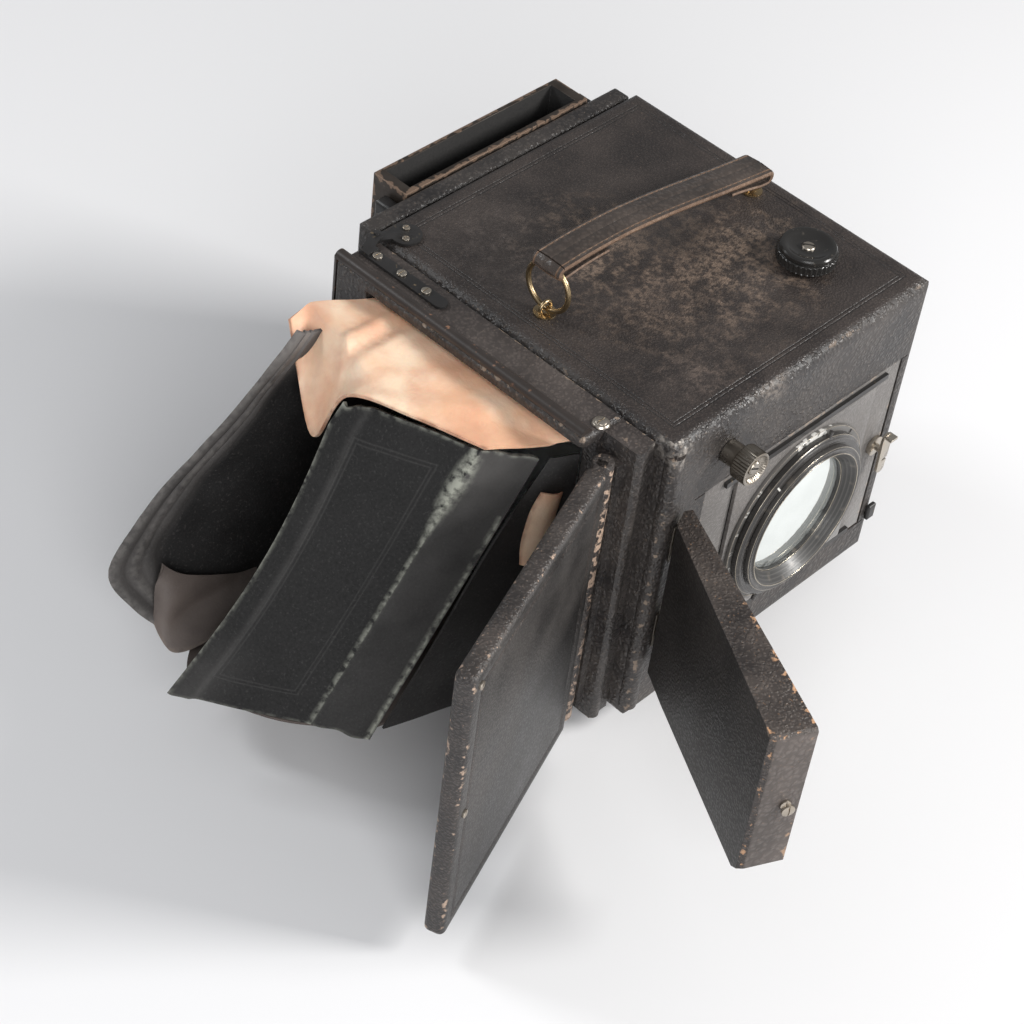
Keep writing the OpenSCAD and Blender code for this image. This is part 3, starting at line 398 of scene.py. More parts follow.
def glass(name, colour, rough, ior=1.5):
    """Clear or ground glass, with a little dust on it."""
    made, tree, shader, place = finish(name, colour, rough, IOR=ior, Transmission_Weight=1.0)
    wire(tree, shader, None, ramp(tree, clouds(tree, place, 0.0008, 3), 0.5, 0.8, rough, rough + 0.08))
    return made


def dress(material, *names):
    """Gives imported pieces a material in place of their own."""
    for name in names:
        mesh = frame["nodes"][name].data
        mesh.materials.clear()
        mesh.materials.append(material)


mahogany = wood("mahogany", (0.20, 0.085, 0.042), (900, 45, 900))
ground = glass("ground_glass", (0.85, 0.89, 0.87), 0.45)
silver, tree, shader, place = finish("silvered_glass", (0.80, 0.81, 0.80), 0.04, 1.0)
wire(tree, shader, None, ramp(tree, clouds(tree, place, 0.018, 5), 0.4, 0.75, 0.03, 0.16))
dress(black_inside, "mirror_box_front", "shutter_board", "mirror_frame", "iris_blades")
dress(ground, "focusing_screen")
dress(enamel, "screen_frame", "front_stop", "rise_guides")
dress(mahogany, "focus_tracks", "top_roller", "bottom_roller")
dress(brass, "focus_racks", "shaft_bushes", "tripod_bush")
dress(steel, "focus_shaft", "mirror_pivot")
dress(silver, "mirror_glass")


# The hood frame stands on the case and carries the hood and the lid. It is pebbled leather over wood,
# with a half-round moulding outside, worn to copper, and black bars at its hinge.
frame_low, frame_high = 156.5, 178.5           # heights of its underside and its top, in millimetres
frame_leather = leather("frame_leather", (0.026, 0.021, 0.0195), (0.095, 0.078, 0.070), 0.0015, 0.00022, 0.50,
                        wear=0.75, board=(at(-side, 157, frame_low), at(side, 25, frame_high)), dust=0.2)
soften("frame_wood", "hood_frame", 0.0005, "pebbled_leather", ((0, 0, 1), 25, frame_leather), pebbled)
moulding_black = metal("moulding_black", (0.035, 0.028, 0.025), 0.36, 0.0, bare=(0.33, 0.17, 0.10), wear=0.6)
soften("frame_half_round", "frame_moulding", 0, "black_enamel", moulding_black)
soften("frame_strap_bars", "frame_straps", 0.00025, "black_enamel", enamel)


# The hood: stiffened front and back panels joined by thin leather gussets, standing half open. Leather
# over card, hemmed at the free edge, with a hard fold that has lost its dye.
def curve(points, steps):
    """A smooth line through points of the upright camera, with so many steps between each two."""
    points = [at(*point) for point in points]
    line = []
    last = len(points) - 1
    for i in range(last):
        a, b, c, e = points[max(i - 1, 0)], points[i], points[i + 1], points[min(i + 2, last)]
        for j in range(steps):
            t = j / steps
            line.append(0.5 * (2 * b + (c - a) * t + (2 * a - 5 * b + 4 * c - e) * t * t
                               + (3 * b - a - 3 * c + e) * t ** 3))
    return line + [points[last]]


def along(line, t):
    """The point at that share of a line of points."""
    where = max(0.0, min(1.0, t)) * (len(line) - 1)
    i = min(int(where), len(line) - 2)
    return line[i].lerp(line[i + 1], where - i)


def hood_leather(name, dark, pale, worn, rough, pebble=0.0011, depth=0.00016, lines=None):
    """Thin or stiffened hood leather, dusty and speckled. Its painted value pale says where the leather is
    drawn lighter grey:
    greyed dye, a painted sheen on the front panel's strip beyond its fold, and the lighter grey-brown of the
    right gusset, which is dirt with painted shade. worn says where a fold has lost its dye. lines gives the
    cut width, length and inset of tooled lines."""
    made, tree, shader, place = finish(name, dark, rough)
    grain = clouds(tree, place, pebble, 3)
    broad = clouds(tree, place, 0.017, 5)
    dusty = ramp(tree, clouds(tree, place, 0.0010, 5), 0.58, 0.70)
    grey = add(tree, "Attribute", attribute_name="pale").outputs["Fac"]
    bare = add(tree, "Attribute", attribute_name="worn").outputs["Fac"]
    tone = mix(tree, ramp(tree, broad, 0.35, 0.75), dark, [part * 1.9 for part in dark])
    tone = mix(tree, times(tree, grey, ramp(tree, broad, 0.15, 0.55, 0.35, 1)), tone, pale)
    tone = mix(tree, times(tree, dusty, 0.30), tone, pale)
    lost = times(tree, bare, ramp(tree, clouds(tree, place, 0.0028, 5), 0.36, 0.60))
    tone = mix(tree, lost, tone, worn)
    height = plus(tree, times(tree, grain, 0.6), times(tree, lost, 0.2))
    if lines:
        u, v = add(tree, "SeparateXYZ", {0: add(tree, "TexCoord").outputs["UV"]}).outputs[:2]
        sides = maths(tree, "MINIMUM", maths(tree, "MINIMUM", u, less(tree, lines[0], u)),
                      maths(tree, "MINIMUM", v, less(tree, lines[1], v)))
        for where in lines[2:]:
            line = line_at(tree, sides, where, 0.0006)
            height = less(tree, height, line)
            tone = mix(tree, times(tree, line, 0.30), tone, pale)
    wire(tree, shader, tone, ramp(tree, grain, 0.2, 0.8, rough + 0.1, rough - 0.12), (1.0, depth, height))
    return made


panel_leather = hood_leather("panel_leather", (0.0045, 0.0043, 0.0043), (0.070, 0.067, 0.065),
                             (0.40, 0.41, 0.35), 0.78, lines=(0.137, 0.057, 0.0115, 0.0132))
soft_leather = hood_leather("soft_leather", (0.0065, 0.0060, 0.0060), (0.115, 0.105, 0.100),
                            (0.30, 0.28, 0.26), 0.66)
# The right gusset's leather is drawn dark grey-brown, though it is the peach leather of the left gusset: dirt
# with painted shade.
dirty_shaded_leather = hood_leather("dirty_shaded_leather", (0.008, 0.007, 0.0068), (0.110, 0.088, 0.078),
                             (0.30, 0.25, 0.22), 0.72)


def built(name, points, faces):
    """A new piece from its points and faces, selected alone."""
    mesh = bpy.data.meshes.new(name)
    mesh.from_pydata(points, [], faces)
    piece = bpy.data.objects.new(name, mesh)
    bpy.context.scene.collection.objects.link(piece)
    only(piece)
    return piece


def walled(piece, thick, offset=-1):
    """Gives a sheet its thickness."""
    wall = piece.modifiers.new("wall", "SOLIDIFY")
    wall.thickness = thick
    wall.offset = offset
    bpy.ops.object.modifier_apply(modifier="wall")


def hood_sheet(name, node, place_of, across, down, thick, slot, material, out, flat, held, area, **painted):
    """A sheet of leather from a function of its two shares, with a UV map in metres. Its wall is laid on
    the inner side of the face that looks out, and painted gives a function of the shares for each painted
    value."""
    row = across + 1
    points = [place_of(i / across, j / down) for j in range(down + 1) for i in range(row)]
    faces = [(j * row + i, j * row + i + 1, (j + 1) * row + i + 1, (j + 1) * row + i)
             for j in range(down) for i in range(across)]
    middle = down // 2 * row + across // 2
    one, two = points[middle + 1] - points[middle], points[middle + row] - points[middle]
    if one.cross(two).dot(out) < 0:
        faces = [face[::-1] for face in faces]
    piece = built(name, points, faces)
    width = sum((points[i + 1] - points[i]).length for i in range(across))
    length = sum((points[(j + 1) * row] - points[j * row]).length for j in range(down))
    uv = piece.data.uv_layers.new(name="UVMap")
    for corner in piece.data.loops:
        j, i = divmod(corner.vertex_index, row)
        uv.data[corner.index].uv = (i / across * width, j / down * length)
    piece.data.materials.append(material)
    walled(piece, thick)
    bpy.ops.object.shade_smooth_by_angle(angle=radians(50))
    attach(piece, "hood")
    if node:
        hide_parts(node)
    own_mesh(piece)
    for value, value_of in painted.items():
        values = piece.data.attributes.new(value, "FLOAT", "POINT")
        for k in range(len(piece.data.vertices)):
            j, i = divmod(k % len(points), row)
            values.data[k].value = value_of(i / across, j / down)


def bump_at(t, where, width):
    """A smooth hump of height 1 at one place."""
    return max(0.0, 1 - ((t - where) / width) ** 2) ** 2


def rough_noise(point, scale, seed=0.0):
    return noise.noise(point * scale + Vector((seed, seed * 0.7, -seed)))


def between(line_a, line_b, u, v):
    """The point at a share of the way from one line to another."""
    return along(line_a, u).lerp(along(line_b, u), v)


def folded(place_of, v, fold_at, reach, fold):
    """A point of a sheet whose hard fold at v = fold_at is rounded over so much of v."""
    near = (v - fold_at) / reach
    if abs(near) >= 1:
        return place_of(v)
    place = (place_of(fold_at - reach) * (1 - near) + place_of(fold_at + reach) * (1 + near)) / 2
    return place.lerp(fold, 0.5 * (1 - near * near))


def out_of(w, d, h):
    """A direction of the upright camera."""
    return Vector((-h, d, w)).normalized()


root = 171.5                                   # height at which the hood is fixed in its frame
b_corner, c_corner = at(67, 105, 223), at(-48, 113, 297.5)
a_corner, d_corner = at(58, 41, 181), at(-55, 49, 250)
a_fold, d_fold = at(67, 52, 201.5), at(-46, 64, 267.5)
panel_out = out_of(-0.55, -0.2, 0.8)
fold_at = 0.70


def front_panel(u, v):
    free = b_corner.lerp(c_corner, u) + (a_fold - b_corner) * 0.11 * sin(pi * u)
    free += (a_fold - b_corner) * 0.035 * max(0, 1 - u / 0.07)
    free -= (c_corner - b_corner) * 0.012 * max(0, 1 - u / 0.05)
    fold = a_fold.lerp(d_fold, u)
    edge = a_corner.lerp(d_corner, u)

    def flat(t):
        return free.lerp(fold, t / fold_at) if t < fold_at else fold.lerp(edge, (t - fold_at) / (1 - fold_at))
    place = folded(flat, v, fold_at, 0.035, fold)
    belly = sin(pi * min(v / fold_at, 1)) * sin(pi * u)
    lift = 0.0022 + 0.0030 * belly
    lift += 0.0007 * (v < 0.13) * min(1, v / 0.02) * min(1, (0.13 - v) / 0.015)
    lift += 0.0009 * rough_noise(place, 26) + 0.0003 * rough_noise(place, 90)
    strip = max(0.0, min(1.0, (v - fold_at) / 0.06)) * max(0.0, min(1.0, (1 - v) / 0.05 + 0.3))
    ripple = sin(30 * u + 17 * v + 4 * rough_noise(place, 40))
    lift += strip * (0.0011 * rough_noise(place, 70, 3) + 0.0006 * ripple)
    lift += 0.0016 * bump_at(u, 0.0, 0.05) * bump_at(v, 0.03, 0.06) * 1.5
    return place + panel_out * lift


hood_sheet(
    "hood_panel_front", "hood_front_panel", front_panel, 96, 72, 0.0019, "hood_leather", panel_leather,
    panel_out, flat=(0.139, 0.083), held="folded", area=0.01004,
    worn=lambda u, v: min(1.0, (0.95 - 0.5 * u)
                          * bump_at(v, fold_at - 0.01, 0.022 + 0.05 * bump_at(u, 0.12, 0.22))
                          + 0.75 * bump_at(v, 0.985, 0.02) * (u > 0.2) + 0.45 * bump_at(v, 0.0, 0.02)
                          + 0.45 * bump_at(u, 0.0, 0.012) + 0.25 * bump_at(u, 1.0, 0.01)),
    # pale draws the strip beyond the fold grey, lightest at u = 0: a painted sheen on that strip.
    pale=lambda u, v: ((0.75 * max(0.0, 1 - 0.8 * u) + 0.12) * (v > fold_at) + 0.35 * bump_at(v, 0.13, 0.03)
                       + 0.5 * bump_at(u, 1, 0.3) * bump_at(v, 0.05, 0.3)))


# The back panel leans back from the frame, its free edge hemmed over and its inner face black.
back_out = out_of(0, 1, -0.35)
back_inner = curve([(62, 134, root), (20, 135, root), (-24, 135, root), (-60, 134, root)], 12)
back_outer = curve([(70, 140, 213), (50, 143, 230), (26, 149, 246), (0, 157, 269), (-27, 160, 288),
                    (-44, 150, 284), (-56, 138, 274)], 6)


def back_panel(u, v):
    place = between(back_inner, back_outer, u, v)
    lift = 0.0016 - 0.003 * sin(pi * v) * sin(pi * u)
    lift += 0.0022 * rough_noise(place, 22, 5) * v + 0.0006 * rough_noise(place, 80, 2)
    lift -= 0.0012 * (bump_at(v, 0.975, 0.03) + 0.7 * bump_at(v, 0.915, 0.025) + 0.5 * bump_at(v, 0.86, 0.02))
    lift -= 0.004 * bump_at(u, 0.0, 0.25) * bump_at(v, 0.8, 0.35)
    return place + back_out * lift


hood_sheet(
    "hood_panel_back", "hood_back_panel", back_panel, 84, 64, 0.0015, "hood_leather", soft_leather, back_out,
    flat=(0.166, 0.121), held="hung", area=0.01169,
    worn=lambda u, v: 0.35 * bump_at(v, 1.0, 0.03) + 0.25 * bump_at(v, 0.915, 0.02),
    pale=lambda u, v: 0.55 * max(0.0, min(1.0, (v - 0.80) / 0.08)) + 0.6 * bump_at(u, 0, 0.2) * (v > 0.55))


# Gussets of thin leather join the panels. The one on the strap side is undyed on the side that shows,
# and has kept its peach colour where it folded inwards.
peach, tree, shader, place = finish("peach_leather", (0.80, 0.50, 0.33), 0.52, Subsurface_Weight=0.12,
                                    Subsurface_Scale=0.002)
grain = clouds(tree, place, 0.0013, 3)
stain = ramp(tree, clouds(tree, place, 0.014, 5), 0.42, 0.70)
cream = ramp(tree, clouds(tree, place, 0.030, 3), 0.42, 0.62)
bare = add(tree, "Attribute", attribute_name="worn").outputs["Fac"]
coarse = clouds(tree, place, 0.006, 4)
tone = mix(tree, cream, (0.80, 0.47, 0.30), (0.88, 0.66, 0.48))
tone = mix(tree, times(tree, stain, 0.5), tone, (0.58, 0.27, 0.17))
tone = mix(tree, times(tree, bare, ramp(tree, coarse, 0.3, 0.6)), tone, (0.30, 0.13, 0.075))
wire(tree, shader, tone, None, (0.7, 0.0005, plus(tree, times(tree, grain, 0.35), coarse)))
left_out = out_of(1, 0, -0.2)
left_rows = [curve(row, 10) for row in (
    ((65, 33, root), (66, 62, 172), (66, 92, 172), (66, 115, root), (65.5, 136, root)),
    ((62, 39, 178), (68.5, 68, 193), (70, 99, 210), (71.5, 126, 206), (69, 149, 199)),
    ((67, 50, 203), (69, 78, 213.5), (68.5, 102, 224), (36, 119, 224), (70, 145, 212.5)))]


def left_gusset(u, v):
    inner, ridge, outer = (along(row, u) for row in left_rows)
    share = 0.62

    def flat(t):
        return inner.lerp(ridge, t / share) if t < share else ridge.lerp(outer, (t - share) / (1 - share))
    place = folded(flat, v, share, 0.06, ridge)
    slack = sin(pi * v)
    lift = 0.0012 + slack * (0.0022 * rough_noise(place, 24, 8) + 0.0011 * rough_noise(place, 60, 1))
    lift += 0.0016 * slack * bump_at(u, 0.86 - 0.25 * v, 0.05)
    lift -= 0.0014 * slack * bump_at(u, 0.78 - 0.2 * v, 0.05)
    return place + left_out * lift


hood_sheet(
    "hood_gusset_left", "hood_left_gusset", left_gusset, 90, 48, 0.0011, "peach_leather", peach, left_out,
    flat=(0.140, 0.078), held="folded", area=0.00515,
    worn=lambda u, v: min(1.0, 0.8 * bump_at(v, 0, 0.035) + 0.75 * bump_at(v, 1, 0.03)
                          + 0.5 * bump_at(u, 0.80 - 0.3 * v, 0.05) * bump_at(v, 0.35, 0.35)))

right_out = out_of(-1, 0, -0.1)
right_inner = curve([(-62, 36, root), (-63, 70, root), (-63, 104, root), (-62, 132, root)], 12)
right_outer = curve([(-57, 52, 248), (-60, 82, 271), (-59, 116, 283), (-60, 133, 269)], 12)


def right_gusset(u, v):
    place = between(right_inner, right_outer, u, v)
    slack = sin(pi * v)
    lift = -0.0008 + slack * (0.003 * sin(pi * u) + 0.0016 * sin(9 * u + 3 * v)
                              + 0.002 * rough_noise(place, 25, 4))
    return place + right_out * lift


# The right gusset is drawn grey-brown, lighter towards its free edge: dirt with painted shade on peach
# leather.
hood_sheet(
    "hood_gusset_right", "hood_right_gusset", right_gusset, 64, 48, 0.0011, "thin_leather", dirty_shaded_leather,
    right_out, flat=(0.098, 0.113), held="gathered", area=0.00875, pale=lambda u, v: 0.55 + 0.3 * v)

skirt_out = out_of(0, -1, -0.1)
skirt_inner = curve([(w, 30.6, root) for w in (60, 20, -24, -60)], 12)
skirt_outer = curve([(56, 39, 178.5), (20, 41.5, 204), (-24, 44.5, 229), (-53, 47, 246)], 12)


def front_skirt(u, v):
    place = between(skirt_inner, skirt_outer, u, v)
    slack = sin(pi * v)
    lift = -0.0002 + slack * (-0.002 * sin(pi * u) + 0.0014 * sin(14 * u)
                              + 0.0022 * rough_noise(place, 28, 6))
    return place + skirt_out * lift


hood_sheet(
    "hood_skirt", "hood_front_skirt", front_skirt, 64, 40, 0.0011, "thin_leather", soft_leather, skirt_out,
    flat=(0.129, 0.077), held="gathered", area=0.00517, pale=lambda u, v: 0.12)


# Below the hem of the back panel a fold of the thin leather hangs out, greyed to brown, and beside the lid
# a loop of the peach lining shows past the front panel.
hem_line = curve([(-22, 149.5, 272), (-33, 147, 262), (-44, 143, 240), (-46, 141, 230)], 10)
hang_line = curve([(-50, 148, 277), (-58, 136, 278), (-56, 130, 264), (-52, 131, 248)], 10)


def hanging_fold(u, v):
    place = between(hem_line, hang_line, u, v)
    slack = sin(pi * v)
    lift = -0.0026 + 0.0035 * slack * rough_noise(place, 30, 7) + 0.0018 * slack * sin(11 * u + 5 * v)
    return place + back_out * lift


fold_leather = hood_leather("fold_leather", (0.045, 0.036, 0.032), (0.16, 0.13, 0.115),
                            (0.30, 0.24, 0.20), 0.58)
hood_sheet(
    "hood_hanging_fold", None, hanging_fold, 40, 30, 0.0010, "thin_leather", fold_leather, back_out,
    flat=(0.051, 0.033), held="hung", area=0.00111,
    pale=lambda u, v: 0.5 + 0.4 * v, worn=lambda u, v: 0.6 * bump_at(v, 1, 0.06))
loop_in = curve([(42, 33.5, 176), (33, 33.5, 178), (22, 33.5, 181), (11, 33.5, 187)], 8)
loop_out = curve([(46, 36, 186), (38, 36, 190), (26, 36, 193), (14, 35, 194)], 8)


def peach_loop(u, v):
    place = between(loop_in, loop_out, u, v)
    return place + skirt_out * (0.0012 + 0.0022 * sin(pi * v) + 0.001 * rough_noise(place, 60, 4))


hood_sheet(
    "hood_peach_loop", None, peach_loop, 32, 20, 0.0009, "peach_leather", peach, skirt_out,
    flat=(0.034, 0.015), held="folded", area=0.000425,
    worn=lambda u, v: 0.7 * bump_at(v, 0, 0.12) + 0.7 * bump_at(v, 1, 0.12))


# The lid that covers the folded hood, swung open on its hinge. A thin board in fine-grained leather, with
# a tooled double line on its outer face, a turned pebbled edge and two small studs near its free end.
lid_mid, hinge_d, hinge_h = -1.2, 17, 175      # the lid's middle across, and its hinge line
lid_turn = (radians(110.5), at(0, hinge_d, hinge_h))
lid_low, lid_high = at(lid_mid - 71.25, 22.5, hinge_h + 4.25), at(lid_mid + 71.25, 138, hinge_h - 4.25)
lid_leather = leather("lid_leather", (0.022, 0.0205, 0.020), (0.064, 0.058, 0.054), 0.0012, 0.00013, 0.44,
                      wear=0.55, board=(lid_low, lid_high), turn=lid_turn, dust=0.10)
lid_edge = leather("lid_edge", (0.018, 0.0155, 0.015), (0.085, 0.070, 0.062), 0.0013, 0.00032, 0.44,
                   worn=(0.50, 0.36, 0.27), wear=0.8, board=(lid_low, lid_high), turn=lid_turn, dust=0.3)


def added(name, primitive, location=(0, 0, 0), **sizes):
    """A new primitive, selected alone."""
    bpy.ops.object.select_all(action="DESELECT")
    primitive(location=location, **sizes)
    piece = bpy.context.object
    piece.name = piece.data.name = name
    return piece


def slab(name, low, high):
    """A block between two corners."""
    piece = added(name, bpy.ops.mesh.primitive_cube_add, (low + high) / 2, size=1)
    piece.scale = [abs(a) for a in high - low]
    bpy.ops.object.transform_apply(location=True, rotation=True, scale=True)
    return piece


def pick(piece, test):
    """Selects the faces that a test of their middle and normal picks, and leaves edit mode on."""
    bpy.ops.object.mode_set(mode="EDIT")
    bpy.ops.mesh.select_mode(type="FACE")
    bpy.ops.mesh.select_all(action="DESELECT")
    bpy.ops.object.mode_set(mode="OBJECT")
    for face in piece.data.polygons:
        face.select = test(face.center, face.normal)
    bpy.ops.object.mode_set(mode="EDIT")


def bevelled(piece, width, segments):
    only(piece)
    edges_rounded(piece, width, segments, 30)
    bpy.ops.object.shade_smooth_by_angle(angle=radians(34))


lid = slab("lid_board", lid_low, lid_high)
bevelled(lid, 0.0026, 5)
pick(lid, lambda middle, normal: normal.x < -0.99)
bpy.ops.mesh.inset(thickness=0.0034, depth=0)
for sink in (-0.00035, 0.00035, 0, -0.0003, 0.0003):
    bpy.ops.mesh.inset(thickness=0.0005, depth=sink)
bpy.ops.object.mode_set(mode="OBJECT")
facing(lid, ((-1, 0, 0), 30, lid_leather), lid_edge)
roll = added("lid_roll", bpy.ops.mesh.primitive_cylinder_add, at(lid_mid, hinge_d, hinge_h),
             vertices=40, radius=0.0042, depth=0.1405)
bpy.ops.object.transform_apply(location=True)
bevelled(roll, 0.0008, 2)
web = slab("lid_web", at(lid_mid - 70.25, hinge_d, hinge_h - 2), at(lid_mid + 70.25, 25, hinge_h + 2))
for extra in (roll, web):
    facing(extra, lid_edge)
only(lid)
roll.select_set(True)
web.select_set(True)
bpy.ops.object.join()
pivot = Matrix.Translation(lid_turn[1])
lid.data.transform(pivot @ Matrix.Rotation(lid_turn[0], 4, "Z") @ pivot.inverted())
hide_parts("top_lid")
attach(lid, "lid")


# The lens flap is a wedge, hollowed inside for the lens, hinged on the front of the case. Coarse leather
# on its sides is cracked and scuffed to its orange base, and its end is a smoother, browner piece.
flap_turn = (radians(-116), at(0, -1.5, 141))
shut = {"board": (at(-44.5, -1.5, 25), at(41.5, -19.5, 141)), "turn": flap_turn}
# The outer face is the same leather as the sides, drawn darker and with flatter grain: painted shade.
shaded_flap_face = leather("shaded_flap_face", (0.015, 0.0135, 0.013), (0.040, 0.035, 0.032), 0.0014, 0.00016, 0.50,
                    dust=0.12, **shut)
flap_side = leather("flap_side", (0.022, 0.018, 0.017), (0.110, 0.090, 0.078), 0.0014, 0.00036, 0.46,
                    worn=(0.52, 0.30, 0.17), wear=0.95, dust=0.35, **shut)
flap_end = leather("flap_end", (0.055, 0.045, 0.040), (0.125, 0.103, 0.092), 0.0024, 0.00024, 0.48,
                   worn=(0.38, 0.24, 0.15), wear=0.8, dust=0.2, **shut)
swing = Matrix.Rotation(flap_turn[0], 3, "Z")
soften("flap_wedge", "lens_flap", 0.0012, "pebbled_leather",
       (swing @ Vector((1, 0, 0)), 38, flap_end), ((0, 0, 1), 42, flap_side),
       (swing @ Vector((0, -1, 0)), 40, shaded_flap_face), flap_side, angle=25, segments=4)


# The carrying strap is one strip of harness leather, doubled and stitched, its ends folded round two
# rings. The ring at the hood end is large and stands up in its eye, and the one at the base end is small.
def tube(n, rings, first=0):
    """The faces between rings of n points each, one after another from the first point."""
    faces = []
    for r in range(rings - 1):
        low = first + r * n
        faces += [(low + i, low + (i + 1) % n, low + n + (i + 1) % n, low + n + i) for i in range(n)]
    return faces


def outward(piece):
    """Turns every face of a piece to look outwards."""
    only(piece)
    bpy.ops.object.mode_set(mode="EDIT")
    bpy.ops.mesh.select_all(action="SELECT")
    bpy.ops.mesh.normals_make_consistent(inside=False)
    bpy.ops.object.mode_set(mode="OBJECT")


def sweep(name, path, profile, cross):
    """A closed profile carried along a path of points, and capped. Each profile point is its distance
    along cross and its height over the path, and may change with the share of the path."""
    rings = []
    for i, place in enumerate(path):
        way = (path[min(i + 1, len(path) - 1)] - path[max(i - 1, 0)]).normalized()
        up = way.cross(cross).normalized()
        rings.append([place + cross * x + up * y for x, y in profile(i / (len(path) - 1))])
    n = len(rings[0])
    ends = [tuple(range(n))[::-1], tuple(range((len(rings) - 1) * n, len(rings) * n))]
    piece = built(name, [point for ring in rings for point in ring], tube(n, len(rings)) + ends)
    outward(piece)
    bpy.ops.object.shade_smooth_by_angle(angle=radians(40))
    return piece


def wrap(w, h, radius, angles):
    """The strap's way round a ring, as points of the upright camera."""
    return [(w + radius * sin(radians(t)), strap_d, h + radius * cos(radians(t))) for t in angles]


across, strap_d = Vector((0, 1, 0)), 84
top_line = [(w, strap_d, h) for w, h in (
    (100.5, 137.5), (100.8, 130), (101.0, 123.5), (100.8, 112), (100.2, 100.5), (98.9, 88), (97.2, 75.5),
    (95.2, 63), (93.0, 50.5), (91.4, 41), (90.0, 32.5), (88.7, 24), (87.5, 15.5))]
under_big = [(w, strap_d, h) for w, h in ((97.3, 113), (97.3, 120), (97.1, 127), (96.5, 133))]
under_small = [(w, strap_d, h) for w, h in ((83.6, 20), (85.2, 26), (86.9, 33), (88.1, 39))]
strap_path = curve(under_big + wrap(98.3, 137.5, 2.3, range(-90, 90, 18)) + top_line
                   + wrap(85.3, 15.5, 2.2, range(108, 271, 18)) + under_small, 3)


def strap_profile(t):
    """Section of the strap, crowned over its middle, grooved at its stitching, thinner at the folds."""
    whole = 0.9 if t < 0.16 or t > 0.86 else 1.0 + 0.35 * min(1, (t - 0.16) / 0.05, (0.86 - t) / 0.05)
    thick = 0.00105 * whole
    half = ((-0.0075, 0), (-0.0071, 0.75), (-0.0062, 1), (-seam, 0.82), (-0.0054, 1), (-0.0025, 1.12),
            (-0.0006, 1.22))
    top = [(x, thick * y) for x, y in half]
    top += [(0, thick * 1.02)] + [(-x, y) for x, y in reversed(top)]
    return top + [(x, -y * 0.9) for x, y in reversed(top[1:-1])]


seam = 0.0058                                  # distance of each line of stitches from the strap's middle
strap_top = leather("strap_top", (0.028, 0.022, 0.019), (0.082, 0.064, 0.054), 0.0022, 0.00018, 0.36,
                    worn=(0.30, 0.20, 0.13), dust=0.12)
strap_under = leather("strap_under", (0.105, 0.060, 0.036), (0.20, 0.125, 0.080), 0.0026, 0.00030, 0.62,
                      worn=(0.34, 0.22, 0.14), dust=0.3)
strap = sweep("carrying_strap_leather", strap_path, strap_profile, across)
facing(strap, ((0, 1, 0), 62, strap_under), ((0, -1, 0), 62, strap_under), strap_top)
for face in strap.data.polygons:
    if face.normal.z < -0.35:
        face.material_index = 0
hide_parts("carrying_strap")
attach(strap, "handle")
thread, tree, shader, place = finish("waxed_thread", (0.045, 0.038, 0.032), 0.55)
twist = clouds(tree, place, 0.0006, 2)
wire(tree, shader, mix(tree, twist, (0.025, 0.021, 0.018), (0.10, 0.085, 0.07)))
line = curve(top_line, 12)
lengths = [0.0]
for i in range(1, len(line)):
    lengths.append(lengths[-1] + (line[i] - line[i - 1]).length)
points, faces = [], []
thread_r, corners = 0.00022, 5
for offset in (-seam, seam):
    reach = 0.004
    while reach < lengths[-1] - 0.004:
        i = next(k for k in range(len(lengths)) if lengths[k] > reach)
        way = (line[i] - line[i - 1]).normalized()
        up = way.cross(across).normalized()
        middle = line[i] + across * offset + up * 0.00118
        base = len(points)
        for ahead, draw in ((-0.0011, 0.35), (-0.0007, 1), (0.0007, 1), (0.0011, 0.35)):
            for k in range(corners):
                a = k * 2 * pi / corners
                points.append(middle + (across * cos(a) + up * sin(a)) * thread_r * draw + way * ahead
                              - Vector((0, 0, 0.00025 * (draw < 1))))
        faces += tube(corners, 4, base)
        faces.append(tuple(range(base, base + corners))[::-1])
        faces.append(tuple(range(base + 3 * corners, base + 4 * corners)))
        reach += 0.0030
sewing = built("strap_stitches", points, faces)
sewing.data.materials.append(thread)
outward(sewing)
bpy.ops.object.shade_smooth()
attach(sewing, "handle")


# The rings of the strap hang in eyes on small oval plates. They are bent brass wire, once nickelled,
# darkened where it is never touched. The screws of the frame's hinge are nickelled and domed.
ring_brass = metal("ring_brass", (0.42, 0.32, 0.19), 0.30, bare=(0.16, 0.11, 0.07), wear=0.6)
for name, node, material in (
        ("strap_ring_wires", "strap_rings", ring_brass), ("strap_eye_plates", "strap_lugs", ring_brass),
        ("hood_bar_screws", "hood_screws", nickel), ("hinge_plate_screws", "case_screws", nickel)):
    soften(name, node, 0.0002, "nickel", material, segments=2)


# The focusing front is a leather-covered board with a rising lens board, held by two lipped strips.
# Its black leather is drawn pale grey: a painted sheen of the lamp on the front.
sheen_grey_leather = leather("sheen_grey_leather", (0.070, 0.062, 0.057), (0.155, 0.142, 0.132), 0.0011, 0.00014, 0.52,
                        worn=(0.34, 0.25, 0.18), board=(at(-56, 6, 9), at(38, 0.4, 131)), sheen=0.25)
soften("front_board", "lens_panel", 0.0003, "pebbled_leather", sheen_grey_leather)
soften("rising_board", "rising_panel", 0.0002, "pebbled_leather", sheen_grey_leather)


# The focusing knob on the strap side: black enamelled brass, turned with a dished face and a knurled
# foot, on a plain washer, with one slotted screw.
def put(piece, place, material, body):
    """Sets a finished piece in its place, with its material and the body that carries it."""
    piece.data.transform(place)
    piece.data.materials.append(material)
    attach(piece, body)


